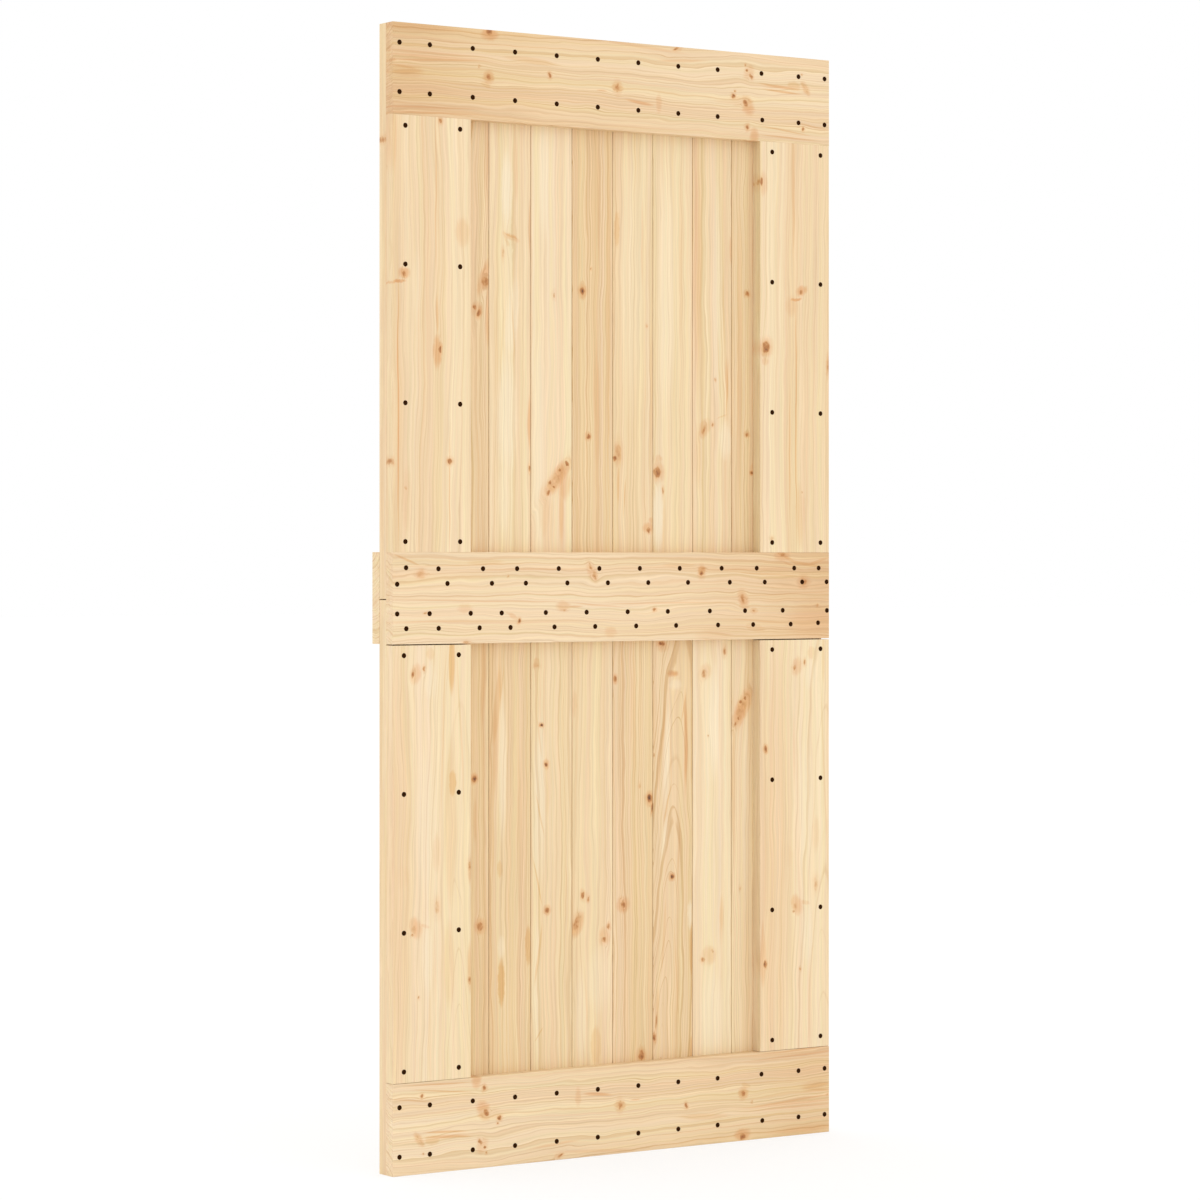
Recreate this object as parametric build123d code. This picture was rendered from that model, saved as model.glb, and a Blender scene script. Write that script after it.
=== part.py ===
from build123d import *
import os

# A sliding door leaf of pine boards, in millimetres. Seen from its front, X runs to the right,
# Y to the back and Z up. The origin is the middle of the top edge, on the plane where the front
# boards lie against the planks.

# Whole leaf
door_width = 1000.0
door_height = 2100.0

# Front boards: three rails across the leaf and four stiles between them
frame_thickness = 24.0
top_rail_width = 168.0
front_mid_rail_width = 168.0
bottom_rail_width = 168.0
stile_width = 168.0
lower_stile_head_gap = 2.2
lower_stile_foot_gap = 0.7
frame_arris = 0.8

# Rear board across the joint between the upper and the lower planks
rear_rail_thickness = 24.0
rear_mid_rail_width = 168.0
rear_rail_arris = 0.8

# Height of both mid rails' centre line over the middle of the leaf
mid_rail_rise = 1.5

# Tongued and grooved planks, upright, in an upper and a lower row
plank_thickness = 24.0
plank_cover_width = 93.0
middle_seam_offset = 2.0
plank_seam_gap = 1.0
plank_row_gap = 2.0
plank_arris = 1.4
tongue_length = 6.0
tongue_thickness = 6.0
tongue_cheek_clearance = 0.3

# Levels and planes that follow from the sizes above
half_width = door_width / 2
top_level = 0.0
bottom_level = -door_height
middle_level = -door_height / 2
mid_rail_level = middle_level + mid_rail_rise
top_rail_foot = top_level - top_rail_width
bottom_rail_head = bottom_level + bottom_rail_width
mid_rail_head = mid_rail_level + front_mid_rail_width / 2
mid_rail_foot = mid_rail_level - front_mid_rail_width / 2
front_plane = -frame_thickness
plank_back_plane = plank_thickness
rear_plane = plank_back_plane + rear_rail_thickness
plank_middle_plane = plank_thickness / 2

# A ripped edge plank keeps at least its groove and as much wood again on either side of it
narrowest_edge_plank = 3 * tongue_length
left_full_planks = int((half_width + middle_seam_offset - narrowest_edge_plank) // plank_cover_width)
right_full_planks = int((half_width - middle_seam_offset - narrowest_edge_plank) // plank_cover_width)
groove_depth = tongue_length
groove_thickness = tongue_thickness + 2 * tongue_cheek_clearance


def eased_board(x_range, y_range, z_range, grain_axis, arris):
    """A sawn board between three pairs of planes, with its four long edges rounded over."""
    lengths = [high - low for low, high in (x_range, y_range, z_range)]
    middles = [(high + low) / 2 for low, high in (x_range, y_range, z_range)]
    board = Pos(*middles) * Box(*lengths)
    return fillet(board.edges().filter_by(grain_axis), arris)


def front_rail(foot, head):
    """A front board that runs across the whole leaf."""
    return eased_board(
        (-half_width, half_width), (front_plane, 0), (foot, head), Axis.X, frame_arris
    )


def front_stile(side, foot, head):
    """A front board that stands at one edge of the leaf, at the left for side -1."""
    outer = side * half_width
    inner = side * (half_width - stile_width)
    x_range = (min(outer, inner), max(outer, inner))
    return eased_board(x_range, (front_plane, 0), (foot, head), Axis.Z, frame_arris)


def rear_rail():
    """The rear board, which lies on the backs of both rows of planks."""
    foot = mid_rail_level - rear_mid_rail_width / 2
    head = mid_rail_level + rear_mid_rail_width / 2
    return eased_board(
        (-half_width, half_width), (plank_back_plane, rear_plane), (foot, head), Axis.X, rear_rail_arris
    )


def seam_places():
    """X of both outer edges and of every seam between them, from left to right."""
    steps = range(-left_full_planks, right_full_planks + 1)
    return [-half_width, *(middle_seam_offset + plank_cover_width * step for step in steps), half_width]


def plank(left_seam, right_seam, foot, head):
    """One upright plank: grooved at its left seam, tongued at its right one, plain at the leaf's edges."""
    grooved = left_seam > -half_width
    tongued = right_seam < half_width
    left = left_seam + (plank_seam_gap / 2 if grooved else 0)
    right = right_seam - (plank_seam_gap / 2 if tongued else 0)
    section = Pos((left + right) / 2, plank_middle_plane) * Rectangle(right - left, plank_thickness)
    section = fillet(section.vertices(), plank_arris)
    if grooved:
        section -= Pos(left + groove_depth / 2, plank_middle_plane) * Rectangle(groove_depth, groove_thickness)
    if tongued:
        section += Pos(right + tongue_length / 2, plank_middle_plane) * Rectangle(tongue_length, tongue_thickness)
    return extrude(Pos(0, 0, foot) * section, amount=head - foot)


def plank_row(row_name, foot, head):
    """All planks of one row, named and numbered from the left."""
    seams = seam_places()
    pairs = zip(seams[:-1], seams[1:])
    return {
        f"{row_name}_{number:02d}": plank(left_seam, right_seam, foot, head)
        for number, (left_seam, right_seam) in enumerate(pairs, start=1)
    }


boards = {
    "top_rail": front_rail(top_rail_foot, top_level),
    "front_mid_rail": front_rail(mid_rail_foot, mid_rail_head),
    "bottom_rail": front_rail(bottom_level, bottom_rail_head),
    "rear_mid_rail": rear_rail(),
}
for side_name, side in (("left", -1), ("right", 1)):
    boards[f"upper_{side_name}_stile"] = front_stile(side, mid_rail_head, top_rail_foot)
    boards[f"lower_{side_name}_stile"] = front_stile(
        side, bottom_rail_head + lower_stile_foot_gap, mid_rail_foot - lower_stile_head_gap
    )
boards.update(plank_row("upper_plank", middle_level, top_level))
boards.update(plank_row("lower_plank", bottom_level, middle_level - plank_row_gap))

os.makedirs("parts", exist_ok=True)
for node_name, solid in boards.items():
    solid.label = node_name
    export_step(solid, f"parts/{node_name}.step")
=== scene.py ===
import math
from dataclasses import dataclass, replace

import bpy
import numpy as np
from bpy.props import FloatProperty, FloatVectorProperty, PointerProperty
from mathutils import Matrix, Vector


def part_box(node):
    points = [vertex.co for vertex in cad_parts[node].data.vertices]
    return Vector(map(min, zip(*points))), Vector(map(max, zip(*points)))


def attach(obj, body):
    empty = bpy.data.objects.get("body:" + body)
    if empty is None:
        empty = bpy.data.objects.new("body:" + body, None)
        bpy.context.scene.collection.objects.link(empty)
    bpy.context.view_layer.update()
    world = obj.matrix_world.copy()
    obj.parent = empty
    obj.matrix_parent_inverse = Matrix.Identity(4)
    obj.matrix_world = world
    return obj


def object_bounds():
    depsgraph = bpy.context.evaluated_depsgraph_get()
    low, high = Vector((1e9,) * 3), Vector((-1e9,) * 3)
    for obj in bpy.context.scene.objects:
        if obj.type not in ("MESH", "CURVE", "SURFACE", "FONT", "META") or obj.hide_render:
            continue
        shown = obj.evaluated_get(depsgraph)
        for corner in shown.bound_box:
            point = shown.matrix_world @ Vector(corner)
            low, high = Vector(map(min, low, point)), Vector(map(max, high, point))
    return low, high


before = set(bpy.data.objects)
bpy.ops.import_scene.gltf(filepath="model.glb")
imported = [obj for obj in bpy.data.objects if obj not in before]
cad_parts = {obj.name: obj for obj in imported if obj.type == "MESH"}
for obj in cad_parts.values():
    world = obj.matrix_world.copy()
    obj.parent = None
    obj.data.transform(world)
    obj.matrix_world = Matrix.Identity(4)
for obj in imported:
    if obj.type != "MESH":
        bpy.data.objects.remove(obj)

bl_info = {
    "name": "Pine sliding door leaf",
    "version": (1, 0, 0),
    "blender": (4, 5, 0),
    "location": "3D View > Sidebar > Door Leaf",
    "description": "Gives the boards of a pine door leaf their figure, drives the screws and sets the stage",
    "category": "Object",
}

# The CAD model's own box, before anything is added to it
CAD_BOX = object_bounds()

RAILS = ["top_rail", "front_mid_rail", "bottom_rail", "rear_mid_rail"]
STILES = ["upper_left_stile", "upper_right_stile", "lower_left_stile", "lower_right_stile"]
PLANKS = sorted(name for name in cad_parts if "plank" in name)


def in_frame(x, z):
    """Millimetres from the leaf's left and bottom edges, seen from the front, to metres in the frame."""
    low, high = CAD_BOX
    return low.x + x / 1000, low.z + z / 1000


@dataclass(frozen=True)
class Figure:
    """How one board was cut and how deep its tone is. Lengths are in millimetres."""

    heart: tuple = (0, 60)      # the tree's heart: across from the board's middle, and behind its front
    lean: tuple = (0.0, 0.0)    # how far the heart line drifts across and back for each millimetre along
    ring: float = 4.5           # width of a year's ring
    line: float = 0.65          # strength of the late wood lines
    wander: float = 8.0         # how far the lines stray from straight
    band: float = 0.72          # how much the tone changes from strip to strip
    across: tuple = ((0, 0.3),)  # tone at places across the leaf or up it, for a rail
    along: tuple = ()           # tone added at places along the board
    rosy: float = 0.5           # how pink the wood is, up from 0 for yellow
    edge: tuple = (1, 1, 1)     # painted shade: a tint for the faces turned to the left (down on a rail), greyer and cooler like a right stile's shaded inner side
    turned: bool = False        # laid the other way round


FIGURES = {
    "top_rail": Figure(
        heart=(130, 60), lean=(0.004, 0.004), ring=5.2, line=0.9, wander=10, band=0.55, rosy=0.57,
        across=((1932, 0.4), (1960, 0.4), (2016, 0.25), (2075, 0.25), (2100, 0.5)),
        along=((0, 0.8), (250, 0.4), (420, 0.2), (760, -0.05), (1000, -0.1)),
    ),
    "front_mid_rail": Figure(
        heart=(-150, 60), lean=(-0.006, 0.004), ring=6.8, line=0.8, wander=11, band=0.55, rosy=0.57,
        across=((967, 0.05), (1007, 0.25), (1040, 0.1), (1060, 0.35), (1105, 0.45), (1136, 0.1)),
        along=((0, 0.0), (400, 0.0), (620, 0.2), (800, 0.45), (900, 0.7), (1000, 0.85)),
    ),
    "rear_mid_rail": Figure(
        heart=(140, 70), lean=(-0.008, 0.006), ring=6.0, line=0.95, wander=10, band=0.55,
        across=((967, 0.2), (1050, 0.1), (1136, 0.3)), along=((0, -0.1), (600, 0.05), (1000, 0.2)),
    ),
    "upper_left_stile": Figure(
        heart=(120, 90), lean=(0.01, 0.0), ring=5.5, line=0.5, wander=9, band=0.5, rosy=0.54,
        across=((0, 0.45), (13, 0.55), (20, 0.3), (103, 0.4), (107, 0.1), (168, 0.2)),
    ),
    "upper_right_stile": Figure(
        heart=(-130, 80), lean=(0.01, 0.0), ring=5.5, line=0.5, wander=9, band=0.5, rosy=0.54,
        # Painted shade on the stile's inner side, which faces the planks
        edge=(0.93, 0.99, 1.04),
        across=((832, 0.5), (842, 0.1), (884, -0.05), (900, 0.5), (918, 0.65), (930, 0.4), (1000, 0.4)),
    ),
    "lower_left_stile": Figure(
        heart=(60, 110), lean=(0.0, 0.03), ring=6.0, line=0.5, wander=9, band=0.42, rosy=0.52,
        across=((0, 0.2), (33, 0.15), (38, 0.0), (100, -0.1), (110, 0.15), (168, 0.1)),
    ),
    "lower_right_stile": Figure(
        heart=(70, 120), lean=(0.0, 0.03), ring=6.0, line=0.5, wander=9, band=0.42, rosy=0.52,
        # Painted shade on the stile's inner side, which faces the planks
        edge=(0.93, 0.99, 1.04),
        across=((832, 0.4), (848, 0.2), (909, 0.25), (914, 0.05), (975, 0.0), (984, 0.3), (1000, 0.2)),
    ),
    "upper_plank_01": Figure(heart=(30, 80), across=((0, 0.5),)),
    "upper_plank_02": Figure(heart=(-60, 50), across=((37, 0.2), (130, 0.35))),
    "upper_plank_03": Figure(heart=(-90, 60), line=0.9, across=((130, 0.3), (205, 0.5), (223, 0.65))),
    "upper_plank_04": Figure(
        heart=(60, 90), line=0.5, wander=6, across=((223, 0.4), (250, 0.2), (316, 0.25))),
    "upper_plank_05": Figure(
        heart=(-50, 90), line=0.34, wander=5, across=((316, 0.2), (365, 0.05), (409, 0.2))),
    "upper_plank_06": Figure(
        heart=(110, 60), line=1.0, wander=6, across=((409, 0.8), (440, 0.8), (502, 0.65))),
    "upper_plank_07": Figure(heart=(-80, 80), line=0.6, wander=5, across=((502, 0.55), (595, 0.4))),
    "upper_plank_08": Figure(
        heart=(90, 90), line=0.45, wander=5, across=((595, 0.2), (640, 0.25), (688, 0.15))),
    "upper_plank_09": Figure(
        heart=(-70, 70), line=0.6, wander=7, across=((688, 0.6), (709, 0.4), (720, 0.25), (781, 0.35))),
    "upper_plank_10": Figure(
        heart=(70, 70), line=0.75, wander=6, across=((781, 0.5), (846, 0.5), (874, 0.4))),
    "upper_plank_11": Figure(heart=(20, 60), lean=(0.0, 0.03), across=((874, 0.15), (967, 0.3))),
    "upper_plank_12": Figure(heart=(-40, 70), across=((967, 0.35),)),
    "lower_plank_01": Figure(heart=(-30, 80), across=((0, 0.5),)),
    "lower_plank_02": Figure(heart=(15, 55), lean=(0.0, 0.03), across=((37, 0.3), (130, 0.15))),
    "lower_plank_03": Figure(heart=(80, 60), line=0.9, across=((130, 0.35), (195, 0.8), (223, 0.9))),
    "lower_plank_04": Figure(
        heart=(-90, 70), line=0.9, wander=7, across=((223, 0.7), (300, 0.6), (316, 0.45))),
    "lower_plank_05": Figure(
        heart=(60, 60), line=0.65, wander=8, across=((316, 0.4), (365, 0.35), (409, 0.2))),
    "lower_plank_06": Figure(
        heart=(-50, 80), line=0.65, wander=6, across=((409, 0.55), (460, 0.45), (502, 0.2))),
    "lower_plank_07": Figure(heart=(90, 70), line=1.0, wander=6, across=((502, 0.6),)),
    "lower_plank_08": Figure(
        heart=(87, 142), lean=(0.06, 0.0674), ring=4.4, line=0.95, wander=8, band=0.5,
        across=((595, 0.5), (688, 0.65))),
    "lower_plank_09": Figure(
        heart=(-60, 90), line=0.36, wander=5, rosy=0.53, across=((688, 0.05), (781, 0.1))),
    "lower_plank_10": Figure(
        heart=(60, 80), line=0.7, wander=6, across=((781, 0.15), (800, 0.35), (874, 0.45))),
    "lower_plank_11": Figure(heart=(-20, 60), lean=(0.0, 0.025), across=((874, 0.3), (967, 0.15))),
    "lower_plank_12": Figure(heart=(40, 70), across=((967, 0.3),)),
}
FIGURES["bottom_rail"] = replace(
    FIGURES["top_rail"], turned=True,
    across=((1932, 0.15), (1960, 0.15), (2016, 0.0), (2075, 0.0), (2100, 0.2)),
)

# Knots on the boards, each with six numbers: its place from the left and bottom edges, half width and half
# height in millimetres, its tilt in degrees, and its depth of colour
KNOTS = {
    "top_rail": [
        (208, 2096, 6, 6, 0, 0.78), (207, 2013, 4, 6, 0, 0.6), (342, 2025.5, 3, 4.4, 0, 0.66),
        (187, 2031, 1.8, 1.8, 0, 0.4), (496, 2013, 4.5, 8, 0, 0.52), (796, 2003, 5, 7, 25, 0.72),
        (768, 2015, 4, 4, 0, 0.7), (771.5, 2025, 2, 2, 0, 0.5), (797, 2077, 2, 2, 0, 0.5),
        (799, 2066, 2.6, 3.2, 30, 0.6), (810, 2056, 3.4, 6, 30, 0.52), (801, 1957, 3.2, 5, -15, 0.58),
        (632, 2096, 6, 2.4, 30, 0.5), (946, 2034, 2.4, 6, 35, 0.2), (937, 2046, 2, 5, 35, 0.2),
        (933, 2067, 1.8, 1.8, 0, 0.4), (936, 1962, 3, 4, 0, 0.45), (2, 2030, 2, 2, 0, 0.35),
    ],
    "front_mid_rail": [
        (60, 1096, 7, 7, 0, 0.24), (70, 1024.5, 3.6, 1.6, 0, 0.45), (250, 1091, 1.8, 1.8, 0, 0.35),
        (274, 1008, 3.2, 3.8, 0, 0.9), (375, 1027, 2.6, 2, 0, 0.6), (434, 1109, 2.6, 8, 25, 0.4),
        (443, 1092, 3.6, 8, 25, 0.45), (581, 1027, 3, 3.2, 0, 0.5), (693, 1104, 6, 3, 0, 0.36),
        (692, 1096, 4, 4.6, 0, 0.7), (885, 1132, 8, 4, 0, 0.55), (937, 1079, 8, 7, 0, 0.52),
        (790, 1046, 3.6, 9, 15, 0.5), (816, 1023.5, 4, 2, 0, 0.42), (971, 1031, 2.6, 3.4, 0, 0.35),
        (158, 969, 6, 3, 0, 0.36),
    ],
    "rear_mid_rail": [
        (140, 1060, 6, 7, 0, 0.66), (318, 1102, 3, 4, 0, 0.55), (405, 1012, 4, 6, 20, 0.6),
        (590, 1075, 8, 10, -15, 0.72), (655, 995, 2, 2, 0, 0.5), (823, 1040, 4, 4, 0, 0.6),
        (930, 1110, 3, 6, 30, 0.5),
    ],
    "upper_left_stile": [
        (102, 1926, 3.2, 5, 0, 0.66), (23, 1642, 4.4, 4.6, 0, 0.6), (101, 1507, 2.6, 6, 0, 0.9),
        (122, 1302, 4, 5, 0, 0.95), (27.5, 1252, 2.2, 3.6, 0, 0.3), (0, 1300, 3, 5, 0, 0.4),
    ],
    "upper_right_stile": [
        (835, 1853, 3, 8, 0, 0.58), (846, 1533, 8, 10, -15, 0.85), (931.5, 1643, 4.4, 4.4, 0, 0.6),
        (998, 1500, 3, 14, 0, 0.36), (934, 1252.5, 2.2, 3.4, 0, 0.3), (860, 1162, 4, 3.4, 0, 0.36),
    ],
    "lower_left_stile": [
        (43, 912, 3.2, 5.4, -15, 0.6), (67, 922, 2.4, 5, 0, 0.45), (45, 448, 6, 7, 0, 0.26),
        (41, 437, 3, 3, 0, 0.3), (94, 485, 5, 12, 0, 0.24), (165, 558, 3, 9, 0, 0.46),
        (165, 348, 3, 7, 0, 0.46), (55, 322, 2, 3, 0, 0.3),
    ],
    "lower_right_stile": [
        (916, 912, 3.2, 5.4, -15, 0.56), (940, 922, 2.4, 5, 0, 0.42), (845, 754, 3.6, 5.4, 0, 0.64),
        (844, 337, 3.6, 7, 0, 0.74), (917, 447, 6, 7, 0, 0.26), (913, 437, 3, 3, 0, 0.3),
        (967, 487, 5, 12, 0, 0.24), (929, 323, 2, 3, 0, 0.3),
    ],
    "upper_plank_01": [(18, 1390, 4, 7, 0, 0.6), (26, 1790, 3, 4, 0, 0.5), (0, 1888, 3, 5, 0, 0.4)],
    "upper_plank_02": [(70, 1250, 5, 6, 0, 0.66), (105, 1585, 7, 9, 15, 0.7), (60, 1872, 3, 4, 0, 0.5)],
    "upper_plank_03": [
        (215, 1637, 8, 8, 0, 0.56), (201, 1580, 3.8, 7, -15, 0.8), (191, 1589, 3, 4, 0, 0.75),
        (160, 1320, 5, 7, 0, 0.66), (165, 1990, 4, 5, 0, 0.6),
    ],
    "upper_plank_04": [
        (313, 1292, 2.4, 5, 0, 0.56), (254, 1692, 2.4, 8, 0, 0.3), (272, 1722, 11, 12, 0, 0.0),
        (262, 2040, 5, 6, 0, 0.6),
    ],
    "upper_plank_05": [
        (377, 1277, 9, 36, -39, 0.26), (397, 1301, 4.6, 5.4, 0, 0.72), (381, 1290, 4.4, 3.6, 30, 0.62),
        (367, 1259, 4, 3.6, 0, 0.66), (359, 1266, 3, 5, -30, 0.5), (355, 1247, 3.6, 6, -30, 0.5),
        (368, 1618, 2.2, 4, 0, 0.3),
    ],
    "upper_plank_06": [
        (432, 1628, 5, 7, 0, 0.78), (452, 1670, 1.8, 2.2, 0, 0.42), (445.5, 1354, 3.6, 4.2, 0, 0.8),
        (470, 1985, 5, 7, 0, 0.64),
    ],
    "upper_plank_07": [
        (507, 1313, 3.6, 4.4, 0, 0.8), (514, 1325, 7, 15, 0, 0.3), (585, 1178, 5, 4.4, 0, 0.58),
        (580.5, 1567, 2.2, 2.6, 0, 0.36), (545, 1100, 4, 5, 0, 0.6),
    ],
    "upper_plank_08": [(605, 1288, 8, 9, 0, 0.85), (618, 1252, 2, 6, 0, 0.42), (640, 2010, 4, 6, 0, 0.6)],
    "upper_plank_09": [
        (714, 1372, 4, 9, -25, 0.4), (735, 1382, 2.4, 4, 0, 0.34), (742, 1468, 2, 2.6, 0, 0.46),
    ],
    "upper_plank_10": [
        (818, 1637, 4.4, 4.4, 0, 0.74), (818, 1364, 3.6, 3.8, 0, 0.6), (829, 1290, 2.6, 3, 0, 1.05),
        (842, 1302, 3, 5.4, 0, 0.95), (856, 1810, 5, 6, 0, 0.64),
    ],
    "upper_plank_11": [(915, 1300, 6, 8, 0, 0.7), (890, 1650, 3, 4, 0, 0.5), (945, 1930, 4, 6, 0, 0.6)],
    "upper_plank_12": [(985, 1480, 3, 5, 0, 0.6)],
    "lower_plank_01": [(20, 300, 4, 6, 0, 0.6), (14, 780, 3, 3, 0, 0.5)],
    "lower_plank_02": [(90, 210, 6, 8, 0, 0.68), (62, 560, 4, 5, 0, 0.6), (108, 830, 7, 9, -15, 0.7)],
    "lower_plank_03": [(190, 717, 4.6, 5, 0, 0.85), (203, 443, 6, 7, 0, 0.74), (158, 620, 4, 5, 0, 0.6)],
    "lower_plank_04": [(280, 1010, 4, 6, 0, 0.6), (270, 90, 5, 6, 0, 0.62)],
    "lower_plank_05": [
        (340, 811.5, 3, 3, 0, 1.3), (350, 738.5, 4, 4, 0, 0.72), (352, 466, 4.4, 5.4, -20, 0.6),
        (328, 923, 6, 3, 0, 0.3),
    ],
    "lower_plank_06": [
        (433, 489.5, 3, 6, 0, 0.74), (445, 481, 2.4, 4, 0, 0.7), (419, 438, 6, 12, -20, 0.55),
        (492, 427, 3, 5, 0, 0.74), (481, 403, 5, 5.4, 20, 0.56), (455, 80, 4, 6, 0, 0.6),
    ],
    "lower_plank_07": [
        (507, 895, 3.4, 5, 0, 0.85), (526, 467, 5, 6, 20, 0.66), (587, 667, 5.6, 6.4, 0, 1.0),
        (593, 650, 1.8, 9, -8, 0.8), (563.5, 692, 1.8, 3.6, 0, 0.34), (568, 178, 6, 8, 0, 0.8),
    ],
    "lower_plank_08": [
        (615, 961, 6, 4, 0, 0.95), (640, 515, 4, 4.2, 0, 1.05), (598.5, 210, 3, 6, 0, 0.8),
        (602, 240, 1.6, 14, -6, 0.5), (597, 749, 1.8, 3, 0, 0.4), (650, 60, 4, 6, 0, 0.6),
        (646, 893, 14, 14, 0, 0.0),
    ],
    "lower_plank_09": [
        (715, 902, 6, 8, -30, 0.4), (764, 946, 3.4, 8, 0, 0.4), (712, 352, 4, 5, 0, 0.42),
        (725, 782, 1.8, 2.6, 0, 0.3), (735, 367, 2.6, 3, 0, 0.36),
    ],
    "lower_plank_10": [
        (804, 832, 9, 33, -26, 0.26), (814, 853, 4, 6, -20, 0.58), (803, 846, 4.2, 4.4, 0, 0.66),
        (796, 814, 4, 5, 0, 0.62), (789, 803, 3, 5, -20, 0.45), (801, 485, 2.4, 3.4, 0, 0.3),
    ],
    "lower_plank_11": [(930, 330, 6, 8, 0, 0.68), (900, 700, 4, 4, 0, 0.6), (950, 940, 3, 5, 0, 0.56)],
    "lower_plank_12": [(982, 620, 4, 5, 0, 0.6)],
}
KNOTS["bottom_rail"] = KNOTS["top_rail"]

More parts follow.
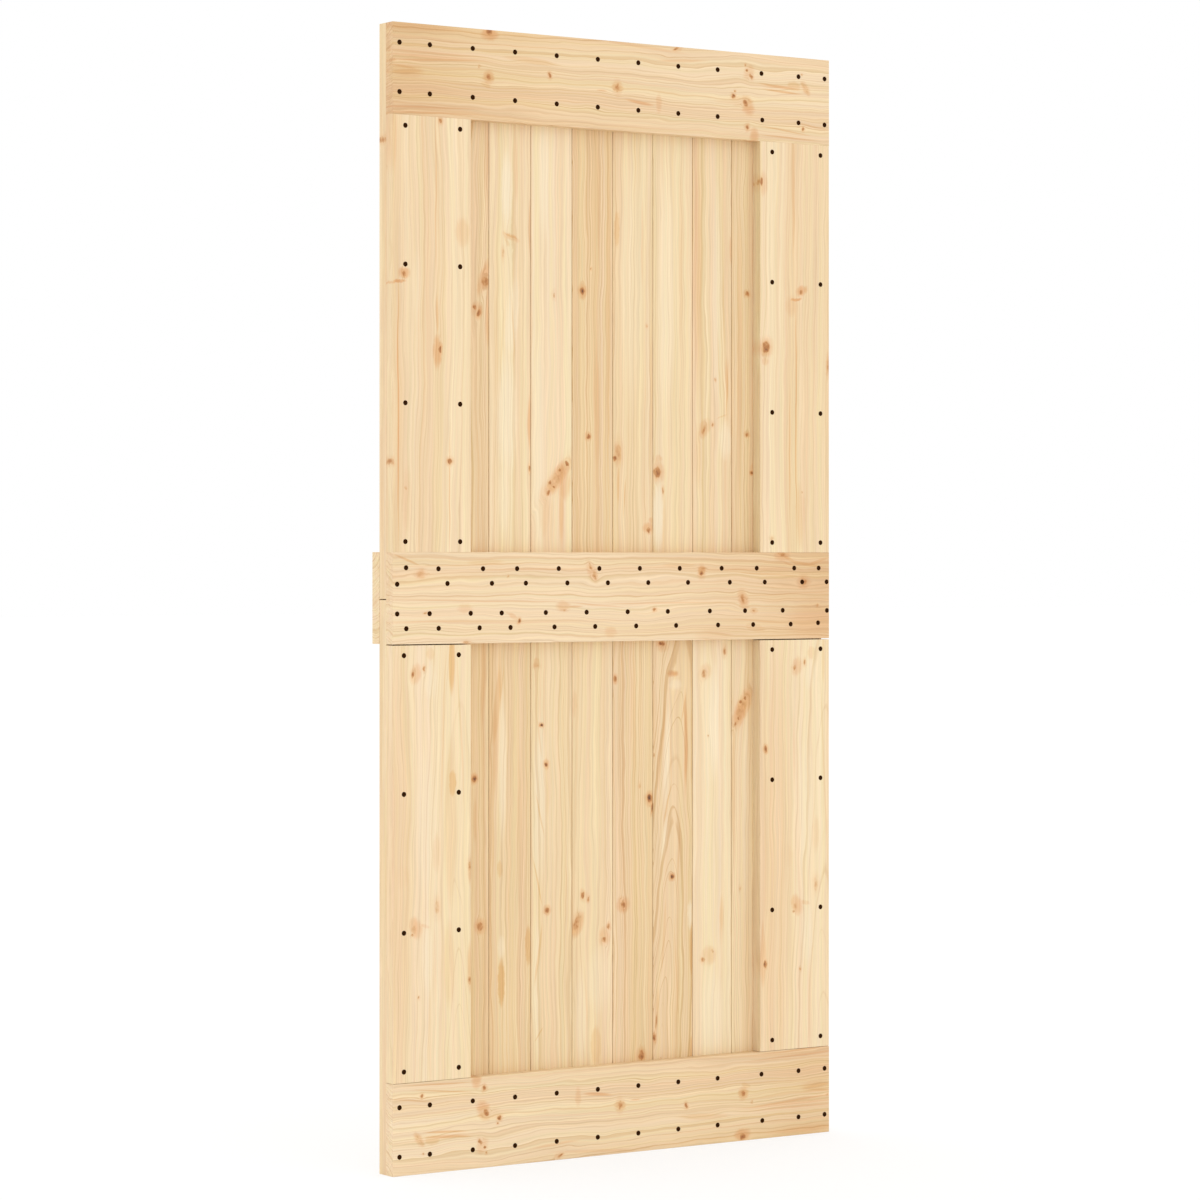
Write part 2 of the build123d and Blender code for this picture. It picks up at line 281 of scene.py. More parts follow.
# Resin stains and streaks of warm wood, with the same six numbers as a knot
STAINS = {
    "top_rail": [
        (209, 2092, 18, 12, 0, 0.75), (207, 2013, 12, 13, 0, 0.55), (496, 2013, 12, 14, 0, 0.45),
        (592, 1990, 7, 18, 0, 0.35), (548, 1988, 30, 3.4, -6, 0.65), (460, 2004, 11, 1.6, 0, 0.5),
        (802, 1998, 14, 19, 25, 0.65), (780, 2006, 22, 10, 0, 0.3), (818, 1941, 11, 15, 0, 0.55),
        (805, 2062, 12, 16, -30, 0.45), (801, 1957, 8, 9, 0, 0.4), (880, 2040, 50, 3, -4, 0.5),
        (885, 2031, 45, 2.4, -4, 0.45), (942, 2041, 8, 16, 35, 0.4), (635, 2095, 14, 5, 20, 0.35),
        (100, 2041, 110, 3, 0, 0.35), (60, 2093, 80, 6, 0, 0.35), (30, 2012, 35, 12, 0, 0.25),
        (90, 2048, 110, 1.8, 0, 0.4), (100, 2036, 95, 2, 3, 0.5), (70, 1948, 120, 1.8, 2, 0.45),
        (80, 1938, 110, 1.8, 2, 0.4), (640, 2074, 60, 3, 4, 0.35), (560, 2093, 90, 3, -3, 0.3),
        (760, 2003, 40, 4, 0, 0.25), (890, 1956, 60, 1.6, -6, 0.5), (900, 1942, 70, 1.8, -2, 0.5),
        (960, 1968, 40, 1.6, -6, 0.45),
    ],
    "front_mid_rail": [
        (60, 1096, 11, 11, 0, 0.4), (155, 1032, 16, 8, 0, 0.3), (262, 1016, 16, 4, -30, 0.4),
        (373, 1034, 16, 10, 0, 0.5), (398, 1033, 18, 2, 2, 0.55), (438, 1098, 10, 22, 28, 0.5),
        (480, 985, 14, 10, 0, 0.3), (250, 1007, 260, 4, 0, 0.22), (692, 1098, 11, 15, 0, 0.45),
        (885, 1129, 18, 10, 0, 0.5), (937, 1078, 16, 14, 0, 0.5), (791, 1045, 12, 20, 20, 0.55),
        (960, 1000, 60, 40, 0, 0.25), (816, 1023, 10, 6, 0, 0.35), (150, 1112, 160, 2.2, 1, 0.25),
        (330, 1104, 130, 1.6, 1, 0.4), (170, 1046, 200, 1.8, -1, 0.35), (450, 1036, 60, 1.8, -4, 0.35),
        (120, 1008, 130, 1.8, 0, 0.35), (360, 1006, 120, 1.4, 2, 0.25), (800, 1103, 110, 1.6, 0, 0.4),
        (850, 1093, 80, 1.6, -3, 0.35), (640, 1039, 160, 1.8, 0, 0.35), (860, 1054, 120, 1.6, 2, 0.3),
        (830, 1003, 70, 1.8, -4, 0.3), (720, 975, 40, 12, 0, 0.2), (970, 1023, 40, 2, 0, 0.25),
        (910, 1110, 26, 2, -20, 0.35), (30, 1121, 30, 2.2, -20, 0.35),
    ],
    "rear_mid_rail": [
        (140, 1060, 14, 14, 0, 0.5), (590, 1075, 18, 20, 0, 0.55), (405, 1012, 10, 12, 0, 0.4),
    ],
    "upper_left_stile": [
        (24, 1644, 13, 10, 0, 0.7), (12, 1628, 15, 3, 8, 0.85), (95, 1503, 9, 30, 0, 0.75),
        (95, 1570, 3, 34, 0, 0.45), (150, 1725, 16, 26, 0, 0.2), (11, 1400, 1.7, 230, 0, 0.7),
        (122, 1238, 1.6, 110, 0, 0.75), (92, 1780, 2, 140, 0, 0.4), (122, 1302, 7, 8, 0, 0.55),
        (30, 1230, 10, 60, 0, 0.18), (2, 1890, 6, 60, 0, 0.3),
    ],
    "upper_right_stile": [
        (840, 1850, 10, 22, 0, 0.4), (846, 1531, 16, 17, 0, 0.75), (845, 1506, 9, 8, 0, 0.45),
        (933, 1646, 14, 9, 20, 0.65), (918, 1628, 14, 3, 8, 0.8), (919, 1400, 1.7, 220, 0, 0.7),
        (903, 1330, 1.6, 120, 0, 0.5), (912, 1860, 4, 140, 0, 0.35), (998, 1500, 6, 26, 0, 0.45),
        (908, 1615, 14, 20, 0, 0.25), (930, 1210, 12, 60, 0, 0.25),
    ],
    "lower_left_stile": [
        (14, 560, 22, 420, 0, 0.2), (48, 913, 12, 18, -15, 0.5), (67, 922, 5, 9, 0, 0.3),
        (93, 585, 8, 34, 0, 0.25), (94, 488, 7, 18, 0, 0.3), (48, 450, 13, 20, 20, 0.55),
        (66, 453, 12, 4, -10, 0.35), (166, 550, 5, 24, 0, 0.5), (166, 372, 6, 44, 0, 0.5),
        (18, 545, 18, 34, 0, 0.25), (79, 240, 4, 90, 0, 0.2), (88, 380, 5, 60, 0, 0.15),
    ],
    "lower_right_stile": [
        (872, 500, 36, 450, 0, 0.2), (921, 913, 12, 18, -15, 0.5), (940, 922, 5, 9, 0, 0.3),
        (845, 754, 8, 10, 0, 0.55), (968, 585, 8, 34, 0, 0.25), (967, 489, 7, 18, 0, 0.3),
        (920, 449, 13, 20, 20, 0.55), (941, 453, 12, 4, -10, 0.35), (840, 348, 8, 56, 0, 0.45),
        (838, 395, 3, 30, 0, 0.4), (893, 545, 18, 34, 0, 0.22), (953, 240, 4, 90, 0, 0.2),
        (914, 750, 2.6, 70, 0, 0.25),
    ],
    "upper_plank_03": [
        (212, 1645, 10, 34, -20, 0.6), (196, 1584, 12, 14, 0, 0.4), (220, 1570, 5, 50, 0, 0.5),
        (216, 1880, 5, 100, 0, 0.3),
    ],
    "upper_plank_04": [
        (272, 1722, 18, 6, -20, 0.45), (283, 1850, 4, 60, 0, 0.3), (314, 1740, 3, 50, 0, 0.55),
        (313, 1378, 4, 46, 0, 0.65), (313, 1292, 5, 12, 0, 0.4), (240, 1500, 5, 200, 0, 0.15),
    ],
    "upper_plank_05": [
        (379, 1278, 16, 46, -39, 0.75), (393, 1262, 14, 30, -10, 0.5), (385, 1200, 6, 60, 0, 0.35),
        (355, 1195, 14, 60, 0, 0.2), (368, 1618, 6, 12, 0, 0.2),
    ],
    "upper_plank_06": [
        (432, 1628, 10, 16, 0, 0.6), (470, 1815, 5, 120, 0, 0.3), (465, 1415, 6, 110, 0, 0.3),
        (446, 1354, 6, 7, 0, 0.5), (492, 1600, 5, 300, 0, 0.2),
    ],
    "upper_plank_07": [
        (513, 1322, 10, 24, 0, 0.5), (514, 1265, 3, 36, 0, 0.5), (530, 1245, 1.6, 24, 0, 0.3),
        (584, 1182, 13, 11, 0, 0.6), (590, 1196, 6, 6, 0, 0.4), (570, 1720, 3, 80, 0, 0.25),
        (590, 1440, 4, 120, 0, 0.2),
    ],
    "upper_plank_08": [
        (606, 1292, 12, 18, 0, 0.65), (607, 1313, 9, 9, 0, 0.45), (618, 1252, 4, 10, 0, 0.35),
        (622, 1180, 5, 60, 0, 0.2), (660, 1700, 6, 160, 0, 0.18),
    ],
    "upper_plank_09": [
        (716, 1374, 12, 20, -25, 0.5), (735, 1382, 6, 8, 0, 0.3), (700, 1690, 9, 230, 0, 0.32),
        (769, 1470, 3.4, 40, 0, 0.35), (778, 1720, 3, 26, 0, 0.5), (700, 1320, 8, 60, 0, 0.2),
    ],
    "upper_plank_10": [
        (818, 1637, 9, 9, 0, 0.55), (818, 1364, 8, 7, 0, 0.55), (835, 1298, 10, 10, 0, 0.35),
        (800, 1500, 6, 300, 0, 0.2),
    ],
    "lower_plank_03": [(190, 717, 8, 9, 0, 0.45), (203, 443, 12, 16, 0, 0.5), (210, 900, 6, 80, 0, 0.25)],
    "lower_plank_04": [(248, 905, 4, 60, 0, 0.4), (236, 770, 5, 80, 0, 0.35), (290, 620, 5, 140, 0, 0.2)],
    "lower_plank_05": [
        (350, 739, 8, 10, 0, 0.5), (352, 466, 9, 11, 0, 0.5), (328, 923, 10, 6, 0, 0.3),
        (395, 400, 6, 160, 0, 0.15),
    ],
    "lower_plank_06": [
        (420, 434, 13, 26, -25, 0.65), (437, 486, 10, 11, 0, 0.3), (484, 410, 12, 16, 20, 0.45),
        (415, 850, 5, 26, 0, 0.25),
    ],
    "lower_plank_07": [
        (525, 467, 15, 15, 0, 0.6), (587, 664, 11, 14, 0, 0.5), (567, 180, 10, 16, 0, 0.5),
        (507, 895, 6, 8, 0, 0.35), (550, 820, 5, 120, 0, 0.2),
    ],
    "lower_plank_08": [
        (618, 956, 12, 10, 0, 0.45), (604, 262, 4, 40, -4, 0.45), (642, 902, 13, 5, 0, 0.6),
        (671, 765, 4, 95, 0, 0.45), (598, 820, 5, 80, 0, 0.25),
    ],
    "lower_plank_09": [
        (718, 905, 14, 16, -30, 0.4), (764, 946, 7, 16, 0, 0.35), (727, 360, 16, 18, 20, 0.4),
        (757, 420, 6, 36, 0, 0.22),
    ],
    "lower_plank_10": [
        (805, 832, 15, 44, -26, 0.8), (816, 836, 8, 26, -20, 0.6), (786, 700, 5, 160, 0, 0.3),
    ],
}
STAINS["bottom_rail"] = STAINS["top_rail"]

# Honey-coloured resin patches and lines, with the same six numbers as a knot
HONEYS = {
    "top_rail": [
        (914, 2044, 16, 9, -8, 0.5), (880, 2041, 50, 2.6, -4, 0.5), (888, 2031, 45, 2, -4, 0.45),
        (942, 2040, 6, 16, 35, 0.3), (300, 2050, 60, 5, -3, 0.4), (200, 1998, 12, 5, -20, 0.4),
        (30, 2012, 35, 3, 4, 0.4), (20, 2020, 30, 2, -6, 0.4),
    ],
    "front_mid_rail": [
        (940, 1114, 46, 3, -10, 0.6), (905, 1122, 24, 3, -24, 0.55), (972, 1118, 28, 3, 14, 0.5),
        (692, 1101, 9, 9, 0, 0.7), (200, 1117, 40, 6, 0, 0.3), (640, 1111, 40, 4, 0, 0.3),
        (820, 990, 24, 8, -10, 0.3), (30, 1122, 28, 2, -20, 0.4),
    ],
    "lower_left_stile": [
        (127, 940, 7, 64, 0, 1.0), (128, 712, 8, 26, 0, 0.9), (124, 640, 13, 150, 0, 0.3),
        (108, 800, 2, 150, -2, 0.35), (146, 800, 2, 150, 3, 0.35), (120, 380, 12, 80, 0, 0.3),
        (80, 950, 9, 12, 0, 0.4),
    ],
    "lower_right_stile": [
        (956, 940, 9, 12, 0, 0.35), (985, 930, 4, 50, 0, 0.35), (988, 700, 2, 200, 3, 0.3),
    ],
    "upper_left_stile": [(150, 1722, 15, 26, 0, 0.2), (144, 1728, 2, 18, 24, 0.25)],
    "upper_plank_04": [
        (272, 1724, 15, 2, -15, 0.6), (262, 1714, 3, 12, 30, 0.4), (276, 1560, 2, 60, 4, 0.4),
        (250, 1500, 2, 80, -3, 0.3),
    ],
    "upper_plank_05": [(385, 1230, 5, 70, 0, 0.4), (345, 1215, 12, 50, 0, 0.25)],
    "upper_plank_07": [
        (511, 1748, 6, 34, 0, 0.6), (516, 1752, 1.4, 36, 0, 0.3), (530, 1240, 1.6, 40, -4, 0.4),
    ],
    "upper_plank_09": [
        (770, 1450, 1.8, 60, -4, 0.5), (758, 1398, 14, 2, 20, 0.4), (750, 1500, 1.6, 70, 3, 0.35),
        (762, 1600, 1.6, 80, 0, 0.3),
    ],
    "lower_plank_03": [(192, 640, 5, 40, 0, 0.3)],
    "lower_plank_04": [
        (250, 335, 8, 44, 0, 1.0), (310, 402, 7, 37, 0, 0.8), (247, 547, 6, 16, 0, 0.5),
        (240, 850, 7, 70, -6, 0.5), (250, 880, 2, 46, -10, 0.4), (232, 640, 3, 120, 0, 0.3),
    ],
    "lower_plank_05": [
        (336, 645, 1.8, 42, 14, 0.6), (331, 520, 1.8, 44, 13, 0.65), (333, 380, 3, 58, -8, 0.55),
        (334, 234, 1.6, 16, -36, 0.6), (335, 790, 1.8, 40, 8, 0.4), (328, 930, 8, 8, 0, 0.4),
        (352, 700, 9, 60, 0, 0.2),
    ],
    "lower_plank_06": [(463, 205, 12, 36, 0, 0.5), (440, 300, 2, 60, 4, 0.3)],
    "lower_plank_08": [
        (672, 780, 4, 84, 0, 0.5), (668, 838, 1.6, 28, -12, 0.6), (616, 765, 3, 84, -6, 0.5),
        (629, 656, 1.4, 46, -12, 0.6), (637, 750, 1.4, 60, 0, 0.45), (641, 905, 14, 5, 0, 0.5),
        (685, 372, 5, 48, 0, 0.75), (685, 182, 4, 26, 0, 0.7), (655, 560, 1.6, 90, -3, 0.4),
        (620, 400, 3, 70, -4, 0.45), (650, 330, 1.6, 110, 3, 0.4),
    ],
    "lower_plank_09": [(752, 830, 1.6, 90, 0, 0.3), (757, 440, 5, 34, 0, 0.3)],
}
HONEYS["bottom_rail"] = HONEYS["top_rail"]

# Pale patches, with the same six numbers as a knot
PALES = {
    "upper_left_stile": [(50, 1620, 9, 60, 0, 0.2)],
    "lower_left_stile": [(75, 396, 12, 64, 0, 0.5), (80, 900, 14, 30, 0, 0.4), (70, 640, 20, 120, 0, 0.3)],
    "lower_right_stile": [
        (947, 396, 12, 64, 0, 0.5), (953, 900, 14, 30, 0, 0.4), (942, 640, 20, 120, 0, 0.3),
    ],
    "upper_plank_04": [
        (262, 1812, 11, 66, 0, 0.8), (274, 1570, 13, 70, -6, 0.6), (262, 1390, 22, 110, 0, 0.6),
        (256, 1240, 12, 70, 0, 0.4),
    ],
    "upper_plank_05": [(344, 1840, 11, 110, 0, 0.5), (334, 1330, 10, 200, 0, 0.4)],
    "upper_plank_07": [(545, 1660, 22, 240, 0, 0.3)],
    "upper_plank_08": [(607, 1205, 11, 62, 0, 0.9), (626, 1640, 20, 220, 0, 0.4)],
    "upper_plank_09": [(765, 1352, 14, 36, 0, 0.55), (745, 1640, 10, 200, 0, 0.4)],
    "lower_plank_04": [(253, 740, 8, 130, 0, 0.6), (250, 402, 8, 20, 0, 0.5)],
    "lower_plank_05": [(336, 690, 13, 130, 0, 0.7), (334, 600, 12, 90, 0, 0.5), (330, 330, 9, 120, 0, 0.4)],
    "lower_plank_06": [(470, 330, 26, 60, 0, 0.35), (430, 260, 12, 90, 0, 0.4)],
    "lower_plank_08": [
        (627, 740, 7, 90, -3, 0.6), (682, 440, 6, 26, 0, 0.7), (648, 882, 14, 10, 0, 0.4),
        (622, 590, 6, 40, -8, 0.5),
    ],
    "lower_plank_09": [(739, 810, 14, 104, 0, 0.7), (735, 240, 26, 90, 0, 0.5)],
    "lower_plank_10": [(815, 640, 8, 200, 0, 0.4)],
}

# How often each pattern of the pine repeats in a metre across a board, along it and into it
ROUGH_EDGES = (130, 80, 130)
RIPPLES = (28, 9, 28)
SLOW_BENDS = (9, 1.7, 9)
STRIPS = (75, 0.55, 55)
FIBRES = (310, 3.5, 310)
RAISED_GRAIN = (420, 12, 420)

# How far noise moves things, in metres: edges of spots across and along, thin streaks, and the grain's
# ripples
EDGE_STRAY = (0.007, 0.009, 0)
STREAK_STRAY = 0.006
UPRIGHT_RIPPLE = 0.012
RAIL_RIPPLE = 0.018

# A spot this many times longer than wide is a streak along the grain, whose edges stay smooth
STREAK_SHAPE = 6

# The bottom rail is the top rail's board laid the other way round, and so shifted across and along, in metres
TURNED_SHIFT = (0.004, -0.002)

# Between one board and the next, the noise is shifted by this much
SEED_STEP = 3.17

# Tints of yellow and of rosy wood
YELLOW_TINT = (1.0, 1.015, 0.935, 1)
ROSY_TINT = (1.0, 0.952, 0.965, 1)

# A distance from the nearest knot, in its half axes, at which no knot shows
NO_KNOT = 9.0

# A screw head's rings lie at these shares of its radius, the last one at the foot of its skirt
HEAD_SHARES = (0.26, 0.5, 0.74, 0.93, 1.0, 0.97)
HEAD_SIDES = 16

# The recess takes this share of the head's radius, and the rounded rim keeps this share of the rim's rise
RECESS_SHARE = 0.62
ROUNDED_RIM = 0.4

# Depth of the skirt in the board, in metres, and the turn from one head to the next, in radians
SKIRT_DEPTH = 0.0004
GOLDEN_ANGLE = 2.39996

# Places of the screws from the left and bottom edges
PLANK_EDGES = [1000 * (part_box(name)[0].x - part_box("top_rail")[0].x) for name in PLANKS if "upper" in name]

# On the outer rails, how far to the right of its plank's left edge each plank's screw stands
RAIL_OFFSETS = (14, *[41.5] * 8, 53.5, 50.5, 21.5)
LOWER_RAIL_OFFSETS = (*RAIL_OFFSETS[:9], 55.5, *RAIL_OFFSETS[10:])

# On the mid rail, the same for the first screw of each pair, and how far right and down its second one stands
UPPER_PAIR_OFFSETS = (60, 64, 46, 46, 45, 45, 45, 51, 42, 40, 7)
LOWER_PAIR_OFFSETS = (9, 41, 37, 12, 17, 16, 17, 17, 23, 14, 12)
PAIR_SLANT = (19.5, 27)

# The pairs at the mid rail's upper left and lower right ends slant the other way
END_PAIRS = [(28, 1107), (9, 1077), (995, 1022), (973, 998)]

STILE_PITCH = 252.6
UPPER_STILE_ROWS = [1912.5 - STILE_PITCH * step for step in range(4)]
LOWER_STILE_ROWS = [947 - STILE_PITCH * step for step in range(4)]


def beside_planks(offsets, first=0):
    """Columns at these offsets from the planks' left edges, from the plank with this index on."""
    return [edge + offset for edge, offset in zip(PLANK_EDGES[first:], offsets)]


def rows_and_columns(columns, rows):
    """Every column on every row, as pairs of places."""
    return [(x, z) for z in rows for x in columns]


def rail_screws(upper_row, lower_row):
    """One screw for each plank on both rows of an outer rail."""
    upper = rows_and_columns(beside_planks(RAIL_OFFSETS), (upper_row,))
    return upper + rows_and_columns(beside_planks(LOWER_RAIL_OFFSETS), (lower_row,))


def slanting_pairs(columns, row):
    """Two screws at each column, the second one further right and lower than the first."""
    return [(x + step * PAIR_SLANT[0], row - step * PAIR_SLANT[1]) for x in columns for step in (0, 1)]


SCREWS = {
    "top_rail": rail_screws(2063, 1973),
    "front_mid_rail": [
        *slanting_pairs(beside_planks(UPPER_PAIR_OFFSETS, first=1), 1105),
        *slanting_pairs(beside_planks(LOWER_PAIR_OFFSETS), 1023),
        *END_PAIRS,
    ],
    "bottom_rail": rail_screws(125, 35),
    "upper_left_stile": rows_and_columns((26.5, 144.5), UPPER_STILE_ROWS),
    "upper_right_stile": rows_and_columns((861, 979), UPPER_STILE_ROWS),
    "lower_left_stile": rows_and_columns((23.5, 141.5), LOWER_STILE_ROWS),
    "lower_right_stile": rows_and_columns((861, 979), LOWER_STILE_ROWS),
}


class PineSettings(bpy.types.PropertyGroup):
    """Colours and surface of the planed pine."""

    white_wood: FloatVectorProperty(
        name="White wood", description="The whitest strips of sapwood",
        subtype="COLOR", min=0, max=1, default=(0.868, 0.735, 0.522))
    pale_wood: FloatVectorProperty(
        name="Pale wood", description="Sapwood between the grain lines of pale boards",
        subtype="COLOR", min=0, max=1, default=(0.840, 0.680, 0.445))
    deep_wood: FloatVectorProperty(
        name="Deep wood", description="Wood between the grain lines of deep boards",
        subtype="COLOR", min=0, max=1, default=(0.740, 0.521, 0.285))
    tan_wood: FloatVectorProperty(
        name="Tan wood", description="The deepest strips of heartwood",
        subtype="COLOR", min=0, max=1, default=(0.636, 0.399, 0.190))
    late_wood: FloatVectorProperty(
        name="Late wood", description="How the hard edge of a year's ring tints the wood",
        subtype="COLOR", min=0, max=1, default=(0.78, 0.65, 0.49))
    warm_wood: FloatVectorProperty(
        name="Warm wood", description="How resin tints the wood in streaks and round knots",
        subtype="COLOR", min=0, max=1, default=(0.87, 0.575, 0.36))
    honey_wood: FloatVectorProperty(
        name="Honey wood", description="How honey-coloured resin tints the wood in patches and lines",
        subtype="COLOR", min=0, max=1, default=(0.90, 0.73, 0.52))
    knot_tan: FloatVectorProperty(
        name="Knot, faint", description="Colour of a faint knot",
        subtype="COLOR", min=0, max=1, default=(0.630, 0.318, 0.108))
    knot_red: FloatVectorProperty(
        name="Knot, live", description="Colour of a live knot",
        subtype="COLOR", min=0, max=1, default=(0.410, 0.152, 0.036))
    knot_dark: FloatVectorProperty(
        name="Knot, dark", description="Colour of a dark knot's rim and heart",
        subtype="COLOR", min=0, max=1, default=(0.110, 0.034, 0.007))
    end_grain: FloatVectorProperty(
        name="End grain", description="How the sawn ends tint the wood",
        subtype="COLOR", min=0, max=1, default=(0.98, 0.96, 0.94))
    relief: FloatProperty(
        name="Grain relief", description="Height of the raised grain",
        subtype="DISTANCE", unit="LENGTH", min=0, max=0.002, precision=5, default=0.00025)
    gloss: FloatProperty(
        name="Gloss", description="Specular level of the planed face",
        subtype="FACTOR", min=0, max=1, default=0.5)


class ScrewSettings(bpy.types.PropertyGroup):
    """Size and lacquer of the screw heads."""

    head_diameter: FloatProperty(
        name="Head diameter", description="Diameter of a screw's head",
        subtype="DISTANCE", unit="LENGTH", min=0.002, max=0.02, precision=4, default=0.0095)
    rim_rise: FloatProperty(
        name="Rim rise", description="How far the head's rim stands over the board",
        subtype="DISTANCE", unit="LENGTH", min=0, max=0.002, precision=5, default=0.00025)
    crown: FloatProperty(
        name="Crown", description="How far the head's middle would stand over its rim",
        subtype="DISTANCE", unit="LENGTH", min=0, max=0.003, precision=5, default=0.0007)
    recess: FloatProperty(
        name="Cross recess", description="Depth of the cross recess in the crown",
        subtype="DISTANCE", unit="LENGTH", min=0, max=0.003, precision=5, default=0.0008)
    lacquer: FloatVectorProperty(
        name="Lacquer", description="Dark brown lacquer of the heads",
        subtype="COLOR", min=0, max=1, default=(0.027, 0.0078, 0.0004))
    rubbed: FloatVectorProperty(
        name="Rubbed lacquer", description="Lacquer where the driver and the rim have rubbed it",
        subtype="COLOR", min=0, max=1, default=(0.052, 0.017, 0.002))


class StageSettings(bpy.types.PropertyGroup):
    """Camera, light and floor."""

    camera_place: FloatVectorProperty(
        name="Camera place", description="Where the camera stands in the part's frame",
        subtype="TRANSLATION", unit="LENGTH", default=(-4.221, -6.122, -0.974))
    camera_heading: FloatProperty(
        name="Camera heading", description="How far the level camera turns from straight on to the right",
        subtype="ANGLE", unit="ROTATION", default=math.atan2(0.5651, 0.825))
    lens: FloatProperty(
        name="Lens", description="Focal length on a 36 mm sensor",
        subtype="DISTANCE_CAMERA", unit="CAMERA", min=10, max=400, default=117.81)
    frame_drop: FloatProperty(
        name="Frame drop",
        description="How far the picture's middle lies under the camera's axis, in picture widths",
        min=-1, max=1, precision=4, default=0.03558)
    sky: FloatProperty(
        name="Sky", description="Strength of the even light from all round",
        min=0, max=2, default=1.17)
    lamp_power: FloatProperty(
        name="Lamp", description="Power of the broad lamp before the leaf",
        subtype="POWER", unit="POWER", min=0, max=5000, default=8)
    lamp_place: FloatVectorProperty(
        name="Lamp place", description="Where the broad lamp hangs in the part's frame",
        subtype="TRANSLATION", unit="LENGTH", default=(-2.6, -5.0, -1.2))
    lamp_size: FloatProperty(
        name="Lamp size", description="Side of the broad lamp's square",
        subtype="DISTANCE", unit="LENGTH", min=0.1, max=10, default=3.0)
    floor_reach: FloatProperty(
        name="Floor reach", description="How far the floor runs from the leaf",
        subtype="DISTANCE", unit="LENGTH", min=2, max=200, default=60)
    floor_lit: FloatVectorProperty(
        name="Floor, lit", description="Colour of the floor to the light that it throws back",
        subtype="COLOR", min=0, max=1, default=(0.90, 0.90, 0.90))
    floor_seen: FloatVectorProperty(
        name="Floor, seen", description="Colour of the floor where it is seen directly, under its glow",
        subtype="COLOR", min=0, max=1, default=(0.32, 0.32, 0.32))
    floor_glow: FloatProperty(
        name="Floor glow", description="Light that the floor adds where it is seen directly",
        min=0, max=1, default=0.66)


class DoorLeafSettings(bpy.types.PropertyGroup):
    """Everything that can be changed on the leaf's looks."""

    pine: PointerProperty(name="Pine", description="The planed pine", type=PineSettings)
    screws: PointerProperty(name="Screws", description="The screw heads", type=ScrewSettings)
    stage: PointerProperty(name="Stage", description="Camera, light and floor", type=StageSettings)


